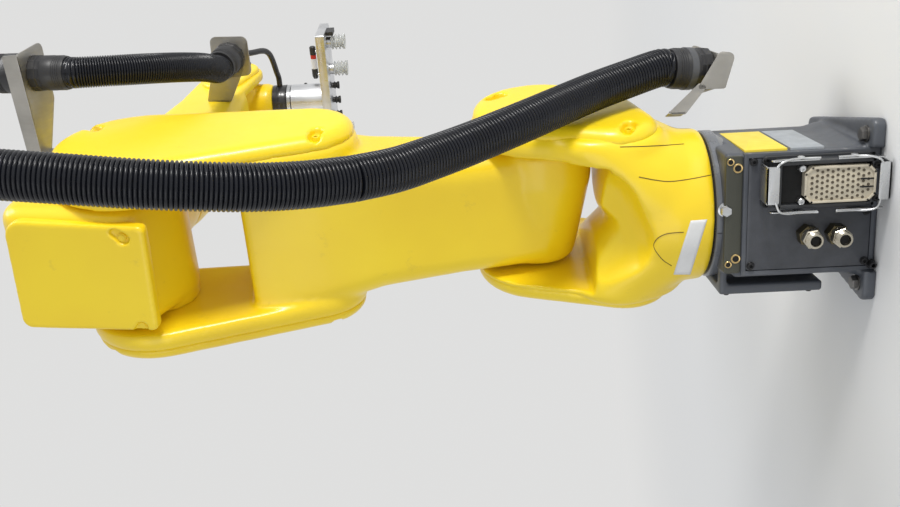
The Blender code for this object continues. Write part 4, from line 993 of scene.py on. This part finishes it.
def makeGripper():
    flange = lathe("toolFlange", [(0.0743, 0.0235), (0.0746, 0.0248), (0.0794, 0.0248), (0.0798, 0.0240)],
                   onWrist, turnedSteel, 64)
    rideOn("tool", "bright_steel", flange)
    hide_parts("tool_flange")
    adapter = lathe("toolAdapter", [(0.0803, 0.0238), (0.0810, 0.0250), (0.1268, 0.0250), (0.1280, 0.0240)],
                    onWrist, milledAluminium, 72)
    # the adapter's side hole is a near-black disc: painted shade
    hole = lathe("hole", [(0.0, 0.0022), (0.0004, 0.0022)], onWrist @ pointing((0.101, -0.0249, 0.006), (0, -1, 0)),
                 paintedHoleShade, 20)
    adapter = join("toolAdapter", [adapter, hole])
    rideOn("tool", "aluminium", adapter)
    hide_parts("tool_adapter")
    plate = solid("gripperPlate", [slab(corners(-gripper["halfLength"], gripper["halfLength"], -gripper["halfWidth"],
                                                gripper["halfWidth"], 0.0025), gripper["plateNear"],
                                        gripper["plateFar"], 'X')], onWrist, milledAluminium, 0.0006)
    rideOn("tool", "aluminium", plate)
    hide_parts("gripper_plate")
    for index, y in enumerate(gripper["cups"], start=1):
        cup = bellowsCup("suctionCup%d" % index, y, 0.011, 0.025, 4, siliconeCup, milledAluminium)
        rideOn("tool", "clear_silicone", cup)
        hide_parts("suction_cup_%d" % index)
    for index, y in enumerate(gripper["smallCups"], start=1):
        cup = bellowsCup("smallCup%d" % index, y, 0.0055, 0.010, 2, cupRubber, blackPlastic)
        rideOn("tool", "cup_rubber", cup)
        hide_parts("small_cup_%d" % index)
    seat = gripper["plateFar"] + 0.0003
    block = solid("endBlock", [slab(corners(-0.104, -0.098, -0.012, 0.012, 0.001), seat, seat + 0.010, 'X')],
                  onWrist, blackPlastic, 0.0006)
    rideOn("tool", "black_plastic", block)
    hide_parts("end_block")
    height = gripper["plateNear"] - 0.0003 - 0.012
    along = onWrist @ Matrix.Translation((height, -0.078, 0.012)) @ turned('Z', 90.0)
    barrel = lathe("barrel", [(0.0, 0.0030), (0.0012, 0.0045), (0.0120, 0.0045), (0.0124, 0.0038)], along,
                   blackPlastic, 32)
    band = lathe("band", [(0.0124, 0.0042), (0.0180, 0.0042)], along, redPlastic, 32)
    window = lathe("window", [(0.0180, 0.0038), (0.0182, 0.0043), (0.0330, 0.0043), (0.0332, 0.0038)], along,
                   whiteLabel, 32)
    tail = lathe("tail", [(0.0332, 0.0045), (0.0440, 0.0045), (0.0478, 0.0030)], along, blackPlastic, 32)
    ports = []
    for y in gripper["ports"]:
        stand = onWrist @ Matrix.Translation((height, y, 0.012))
        ports.append(lathe("port", [(0.0, 0.0026), (0.0105, 0.0026), (0.0105, 0.0034), (0.012, 0.0034)], stand,
                           zincSteel, 24))
    fitting = join("vacuumFitting", [barrel, band, window, tail] + ports)
    rideOn("tool", "black_plastic", fitting)
    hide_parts("vacuum_fitting")


makeGripper()
print("gripper made")


# hoses, couplings and brackets
hose = {"radius": 0.0205, "rearRadius": 0.0175, "cable": 0.004, "spacing": 0.045, "cableSpacing": 0.014,
        "straight": 0.006, "split": 10, "seat": 0.0003, "pitch": 0.0037, "rearPitch": 0.0027,
        "depth": 0.0021, "rearDepth": 0.0018, "ridge": (0.0, 0.78, 1.0, 1.0, 0.78)}
coupling = {"long": 0.044, "radius": 0.0235, "rearLong": 0.040, "rearRadius": 0.0205}
bracket = {"turn": -62.0, "out": 0.143, "height": 0.148, "tilt": 18.0, "sheet": 0.002, "shelf": 0.140,
           "elbowX": 0.084, "elbowY": -0.155, "forearmY": -0.109, "forearmZ": -0.046, "forearmFace": 0.2917,
           "forearmHole": 0.292}
onTurretBracket = onTurret @ turned('Z', bracket["turn"])
onTurretShelf = onTurretBracket @ moved(bracket["out"], 0.0, bracket["height"]) @ turned('X', bracket["tilt"])
dressRoute = [(-0.018, -0.127, 0.275), (-0.098, -0.110, 0.360), (-0.158, -0.096, 0.432), (-0.215, -0.090, 0.495),
              (-0.262, -0.094, 0.570), (-0.292, -0.106, 0.655), (-0.304, -0.120, 0.750), (-0.304, -0.132, 0.850),
              (-0.296, -0.141, 0.945), (-0.268, -0.148, 1.030), (-0.206, -0.155, 1.095), (-0.118, -0.161, 1.120),
              (-0.030, -0.166, 1.096), (0.034, -0.170, 1.035)]
forearmRoute = [(0.066, -0.167, 0.803), (0.100, -0.164, 0.760), (0.151, -0.158, 0.732)]
cableRoute = [(0.300, -0.160, 0.700), (0.350, -0.155, 0.685)]


def spacedPath(points, spacing):
    # points a fixed spacing apart on a smooth line, the same line that the CAD solids follow
    fine = [Vector(p) for p in through([tuple(p) for p in points], 24)]
    length = sum((b - a).length for a, b in zip(fine, fine[1:]))
    count = max(2, round(length / spacing))
    path, travelled, wanted = [fine[0].copy()], 0.0, length / count
    for a, b in zip(fine, fine[1:]):
        step = (b - a).length
        while len(path) < count and travelled + step >= wanted * len(path):
            path.append(a.lerp(b, (wanted * len(path) - travelled) / step))
        travelled += step
    path.append(fine[-1].copy())
    return path


def hosePath(start, route, end, spacing, outOfStart, outOfEnd):
    lead = 2.0 * hose["straight"]
    inner = [start + outOfStart * lead] + [Vector(p) for p in route] + [end + outOfEnd * lead]
    return [start] + spacedPath(inner, spacing) + [end]


def refined(points, spacing):
    # the same path again with close points for the ridges
    fine = [Vector(p) for p in through([tuple(p) for p in points], 40)]
    path, carried = [fine[0].copy()], 0.0
    for a, b in zip(fine, fine[1:]):
        step = (b - a).length
        if step == 0.0:
            continue
        while carried + step >= spacing:
            a = a.lerp(b, (spacing - carried) / step)
            path.append(a.copy())
            step = (b - a).length
            carried = 0.0
            if step == 0.0:
                break
        carried += step
    return path


def lengthOf(line):
    return sum((b - a).length for a, b in zip(line, line[1:]))


def ridgedHose(name, path, radius, depth, pitch, sides):
    perRidge = len(hose["ridge"])
    whole = lengthOf(path)
    line = refined(path, whole / (max(1, round(whole / pitch)) * perRidge))
    line = line[:(len(line) - 1) // perRidge * perRidge + 1]
    build = bmesh.new()
    side = Vector((0.3, -1.0, 0.2))
    rings = []
    for index, place in enumerate(line):
        ahead = line[min(index + 1, len(line) - 1)] - line[max(index - 1, 0)]
        ahead.normalize()
        side = (side - ahead * side.dot(ahead)).normalized()
        other = ahead.cross(side)
        reach = radius - depth * (1.0 - hose["ridge"][index % perRidge])
        rings.append([build.verts.new(place + side * (reach * math.cos(2 * math.pi * k / sides))
                                      + other * (reach * math.sin(2 * math.pi * k / sides))) for k in range(sides)])
    return skinned(name, build, rings, hosePlastic, 75.0), line


def layHose(name, node, bodies, points, blendStart, blendEnd, radius, depth, pitch, sides=28):
    piece, line = ridgedHose(name, points, radius, depth, pitch, sides)
    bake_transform(piece)
    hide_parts(node)


def couplingPiece(name, stand, length, radius, node, body, band=False):
    # stand's own X runs from the sheet toward the hose
    parts = [lathe("nut", [(0.0, radius * 0.80), (0.0, radius * 0.985), (0.0012, radius), (length * 0.20, radius),
                           (length * 0.22, radius * 0.95), (length * 0.34, radius * 0.95)],
                   stand, blackPlastic, 12, 15.0),
             lathe("collar", [(length * 0.30, radius * 0.90), (length * 0.34, radius * 0.955),
                              (length * 0.62, radius * 0.955), (length * 0.64, radius * 0.93),
                              (length * 0.94, radius * 0.925), (length, radius * 0.89), (length, radius * 0.80)],
                   stand, blackPlastic, 56)]
    for index in range(4):
        start = length * (0.68 + 0.06 * index)
        parts.append(lathe("rib", [(start, radius * 0.90), (start + 0.0004, radius * 0.945),
                                   (start + 0.0010, radius * 0.945), (start + 0.0014, radius * 0.90)], stand,
                           blackPlastic, 48))
    if band:
        parts.append(lathe("band", [(length * 0.42, radius * 0.95), (length * 0.425, radius * 0.985),
                                    (length * 0.60, radius * 0.985), (length * 0.605, radius * 0.95)], stand,
                           greyBand, 56))
    piece = join(name, parts)
    rideOn(body, "black_plastic", piece)
    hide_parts(node)


def directionOf(stand, way):
    return (stand.to_3x3() @ Vector(way)).normalized()


def makeCouplings():
    upX = turned('Y', -90.0)                                   # own X turned up
    shelf, seat, spot = bracket["shelf"], hose["seat"], (bracket["elbowX"], bracket["elbowY"])
    couplingPiece("turretCoupling", onTurretShelf @ moved(0, 0, seat) @ upX, coupling["long"], coupling["radius"],
                  "turret_hose_coupling", "turret", True)
    couplingPiece("elbowCoupling", onElbow @ moved(*spot, shelf + 0.0028) @ upX, coupling["long"],
                  coupling["radius"], "elbow_hose_coupling", "elbow")
    couplingPiece("elbowRearCoupling", onElbow @ moved(*spot, shelf - seat) @ turned('Y', 90.0),
                  coupling["rearLong"], coupling["rearRadius"], "elbow_rear_coupling", "elbow")
    couplingPiece("forearmCoupling", onForearm @ moved(bracket["forearmFace"], bracket["forearmY"],
                                                       bracket["forearmZ"]) @ turned('Z', 180.0),
                  coupling["rearLong"], coupling["rearRadius"], "forearm_hose_coupling", "forearm")


def makeHoses():
    shelf, seat, spot = bracket["shelf"], hose["seat"], (bracket["elbowX"], bracket["elbowY"])
    start = onTurretShelf @ Vector((0, 0, coupling["long"] + 2 * seat))
    end = onElbow @ Vector((*spot, shelf + 0.0025 + coupling["long"] + 2 * seat))
    path = hosePath(start, dressRoute, end, hose["spacing"], directionOf(onTurretShelf, (0, 0, 1)),
                    directionOf(onElbow, (0, 0, 1)))
    split = hose["split"]
    dress = hose["radius"], hose["depth"], hose["pitch"]
    layHose("dressHoseLower", "dress_hose_lower", ("turret", "upper_arm"), path[:split + 1],
            (0.030, -0.135, 0.210), (-0.190, -0.092, 0.470), *dress)
    layHose("dressHoseUpper", "dress_hose_upper", ("upper_arm", "elbow"), path[split:],
            (-0.300, -0.120, 0.720), (-0.050, -0.165, 1.060), *dress)

    face, beside, below = bracket["forearmHole"], bracket["forearmY"], bracket["forearmZ"]
    start = onElbow @ Vector((*spot, shelf - coupling["rearLong"] - 2 * seat))
    end = onForearm @ Vector((face - coupling["rearLong"] - 2 * seat, beside, below))
    path = hosePath(start, forearmRoute, end, hose["spacing"], directionOf(onElbow, (0, 0, -1)),
                    directionOf(onForearm, (-1, 0, 0)))
    layHose("forearmHose", "forearm_hose", ("elbow", "forearm"), path, (0.075, -0.166, 0.820),
            (0.200, -0.150, 0.725), hose["rearRadius"], hose["rearDepth"], hose["rearPitch"], 26)

    start = onForearm @ Vector((face, beside, below))
    end = onWrist @ Vector((0.5 * (0.0535 + 0.074), -0.025 - seat, 0.0))
    path = hosePath(start, cableRoute, end, hose["cableSpacing"], directionOf(onForearm, (1, 0, 0)),
                    directionOf(onWrist, (0, -1, 0)))
    line = [Vector(p) for p in through([tuple(p) for p in path], 4)]
    cable = wire("toolCable", line, hose["cable"], cableRubber, sides=5)
    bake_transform(cable)
    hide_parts("tool_cable")


def makeTurretBracket():
    near, sheet = -0.031, bracket["sheet"]
    strip = [slab([(0.0925, 0.1915, 0.0025), (0.0925, 0.1785, 0.0025), (0.1180, 0.1560, 0.0020),
                   (0.1200, 0.1610, 0.0020)], near, near + sheet, 'Y'),
             slab([(0.1180, 0.1355, 0.0025), (0.1480, 0.1285, 0.0060), (0.1500, 0.1350, 0.0050),
                   (0.1180, 0.1600, 0.0020)], near, near + sheet, 'Y'),
             slab([(0.0915, 0.1945, 0.0010), (0.0915, 0.1790, 0.0010)], near, -0.0120, 'Y')]
    pieces = [solid("strip", strip, onTurretBracket, dullSheet, 0.0005),
              solid("shelf", [slab([(-0.0225, -0.0280, 0.0025), (-0.0200, 0.0230, 0.0050), (0.0220, 0.0200, 0.0080),
                                    (0.0060, -0.0250, 0.0060)], -sheet, 0.0, 'Z')], onTurretShelf, dullSheet, 0.0005)]
    pieces.append(screwsOn("screws", onTurretBracket, (1, 0, 0), [(0.0925, -0.0205, z) for z in (0.1830, 0.1905)],
                           0.0027, 0.0024, blackScrew))
    piece = join("turretBracket", pieces)
    rideOn("turret", "stainless", piece)
    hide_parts("turret_bracket")


def makeArmBrackets():
    shelf, sheet = bracket["shelf"], bracket["sheet"]
    plate = solid("plate", [slab([(0.0600, -0.1790, 0.005), (0.1020, -0.1760, 0.008), (0.1020, -0.1200, 0.008),
                                  (0.0600, -0.0690, 0.004), (0.0760, -0.0690, 0.004)], shelf, shelf + sheet, 'Z'),
                            slab([(0.0640, 0.0840, 0.002), (0.0780, 0.0840, 0.002), (0.0640, 0.1400, 0.002),
                                  (0.0780, 0.1400, 0.002)], -0.0663, -0.0600, 'Y'),
                            slab([(-0.1800, 0.1550, 0.003), (-0.0700, 0.1540, 0.003), (-0.1820, 0.1420, 0.002),
                                  (-0.0670, 0.1420, 0.002)], 0.0550, 0.0550 + sheet, 'X')],
                  onElbow, dullSheet, 0.0005)
    screws = screwsOn("screws", onElbow, (0, -1, 0), [(0.0710, -0.0663, z) for z in (0.0920, 0.1120)],
                      0.0030, 0.0028, blackScrew, 0.0040)
    piece = join("elbowBracket", [plate, screws])
    rideOn("elbow", "stainless", piece)
    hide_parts("elbow_bracket")
    face, root = bracket["forearmFace"], -0.0483
    plate = solid("plate", [slab([(-0.1280, -0.0640, 0.008), (-0.0920, -0.0640, 0.008), (-0.1280, -0.0300, 0.008),
                                  (-0.0880, -0.0280, 0.008)], face, face + sheet, 'X'),
                            slab([(-0.0950, -0.0540, 0.008), (-0.0950, -0.0280, 0.008), (root - 0.002, -0.0370, 0.002),
                                  (root - 0.002, -0.0080, 0.002)], face, face + sheet, 'X'),
                            slab([(face + 0.002, -0.0350, 0.002), (face + 0.028, -0.0310, 0.002),
                                  (face + 0.002, -0.0110, 0.002), (face + 0.028, -0.0110, 0.002)], root - sheet, root,
                                 'Y')], onForearm, dullSheet, 0.0005)
    places = [(x, root - sheet, -0.0220) for x in (face + 0.010, face + 0.021)]
    screws = screwsOn("screws", onForearm, (0, -1, 0), places, 0.0027, 0.0026, blackScrew, 0.0036)
    piece = join("forearmBracket", [plate, screws])
    rideOn("forearm", "stainless", piece)
    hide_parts("forearm_bracket")


makeCouplings()
makeHoses()
makeTurretBracket()
makeArmBrackets()
print("hoses made")


# bare label on the turret, laid on the casting as the picture's camera sees its corners (y, z)
bareLabel = {"corners": ((0.0010, 0.1890), (0.0005, 0.1722), (0.0586, 0.1885), (0.0578, 0.2060)),
             "rows": 6, "columns": 16, "thick": 0.0004}


def makeLabel():
    tree = surfaceOf(turretCasting)
    build = bmesh.new()
    rows, columns, edge = bareLabel["rows"], bareLabel["columns"], bareLabel["corners"]
    grid = []
    for row in range(rows + 1):
        line = []
        for column in range(columns + 1):
            one, two = column / columns, row / rows
            y, z = (edge[0][i] * (1 - one) * (1 - two) + edge[1][i] * (1 - one) * two + edge[2][i] * one * two
                    + edge[3][i] * one * (1 - two) for i in (0, 1))
            place = Vector((-0.085, y, z))
            hit, ahead = rayTo(tree, place)
            line.append(build.verts.new((hit[0] or place) + (hit[1] or -ahead) * bareLabel["thick"]))
        grid.append(line)
    for row in range(rows):
        for column in range(columns):
            build.faces.new((grid[row][column], grid[row][column + 1], grid[row + 1][column + 1],
                             grid[row + 1][column]))
    bmesh.ops.recalc_face_normals(build, faces=build.faces)
    label = linkMesh("bareLabel", meshFrom("bareLabel", build), whiteLabel)
    thick = label.modifiers.new("thick", 'SOLIDIFY')
    thick.thickness = bareLabel["thick"]
    bake(label)
    label.data.shade_smooth()
    rideOn("turret", "black_plastic", label)


makeLabel()


# floor, world and lamps
studio = {"floor": (0.80, 0.80, 0.79), "floorReach": 6.0, "sky": (0.74, 0.74, 0.735), "fade": (0.45, 1.9),
          "skyLight": (0.92, 0.95, 1.0), "skyStrength": 0.60, "aim": (0.0, 0.0, 0.5)}
lamps = (("key", (-1.05, -2.75, 0.55), 68.0, 0.6, (1.0, 0.985, 0.96)),     # name, place, watts, size, colour
         ("fill", (-2.0, 0.9, 0.9), 8.0, 1.4, (0.95, 0.97, 1.0)),
         ("top", (0.3, -0.9, 2.2), 16.0, 0.8, (1.0, 1.0, 1.0)))


def makeStudio():
    bpy.context.scene.view_settings.view_transform = 'Standard'
    material, nodes, links, shader = newMaterial("paleFloor")
    cloud = noiseOn(nodes, links, 2.0, 3.0)
    links.new(mixColour(nodes, links, rampOf(nodes, links, cloud.outputs["Fac"], 0.3, 0.7), studio["floor"],
                        tuple(c * 0.985 for c in studio["floor"])), shader.inputs["Base Color"])
    shader.inputs["Roughness"].default_value = 0.9
    place = nodes.new('ShaderNodeTexCoord')
    distance = nodes.new('ShaderNodeVectorMath')
    distance.operation = 'LENGTH'
    links.new(place.outputs["Object"], distance.inputs[0])
    fade = nodes.new('ShaderNodeMapRange')
    fade.interpolation_type = 'SMOOTHSTEP'
    fade.inputs["From Min"].default_value, fade.inputs["From Max"].default_value = studio["fade"]
    links.new(distance.outputs["Value"], fade.inputs["Value"])
    paper = nodes.new('ShaderNodeEmission')
    paper.inputs["Color"].default_value = (*studio["sky"], 1.0)
    blend = nodes.new('ShaderNodeMixShader')
    links.new(fade.outputs["Result"], blend.inputs["Fac"])
    links.new(shader.outputs[0], blend.inputs[1])
    links.new(paper.outputs[0], blend.inputs[2])
    links.new(blend.outputs[0], nodes["Material Output"].inputs["Surface"])
    build = bmesh.new()
    reach = studio["floorReach"]
    build.faces.new([build.verts.new((x, y, -0.0002)) for x, y in ((-reach, -reach), (reach, -reach),
                                                                (reach, reach), (-reach, reach))])
    linkMesh("floor", meshFrom("floor", build), material)
    world = bpy.context.scene.world or bpy.data.worlds.new("studio")
    bpy.context.scene.world = world
    world.use_nodes = True
    nodes, links = world.node_tree.nodes, world.node_tree.links
    nodes.clear()
    out = nodes.new('ShaderNodeOutputWorld')
    light = nodes.new('ShaderNodeBackground')
    light.inputs["Color"].default_value = (*studio["skyLight"], 1.0)
    light.inputs["Strength"].default_value = studio["skyStrength"]
    seen = nodes.new('ShaderNodeBackground')
    seen.inputs["Color"].default_value = (*studio["sky"], 1.0)
    seen.inputs["Strength"].default_value = 1.0
    ray = nodes.new('ShaderNodeLightPath')
    choose = nodes.new('ShaderNodeMixShader')
    both = nodes.new('ShaderNodeMath')
    every = nodes.new('ShaderNodeMath')
    for step in (both, every):
        step.operation = 'ADD'
        step.use_clamp = True
    links.new(ray.outputs["Is Camera Ray"], both.inputs[0])
    links.new(ray.outputs["Is Glossy Ray"], both.inputs[1])
    links.new(both.outputs[0], every.inputs[0])
    links.new(ray.outputs["Is Transmission Ray"], every.inputs[1])
    links.new(every.outputs[0], choose.inputs["Fac"])
    links.new(light.outputs[0], choose.inputs[1])
    links.new(seen.outputs[0], choose.inputs[2])
    links.new(choose.outputs[0], out.inputs["Surface"])
    for name, place, power, size, colour in lamps:
        data = bpy.data.lights.new(name, 'AREA')
        data.energy = power
        data.size = size
        data.color = colour
        lamp = bpy.data.objects.new(name, data)
        bpy.context.scene.collection.objects.link(lamp)
        aim = Vector(studio["aim"]) - Vector(place)
        lamp.matrix_world = Matrix.Translation(place) @ aim.to_track_quat('-Z', 'Y').to_matrix().to_4x4()


makeStudio()
print("studio made")
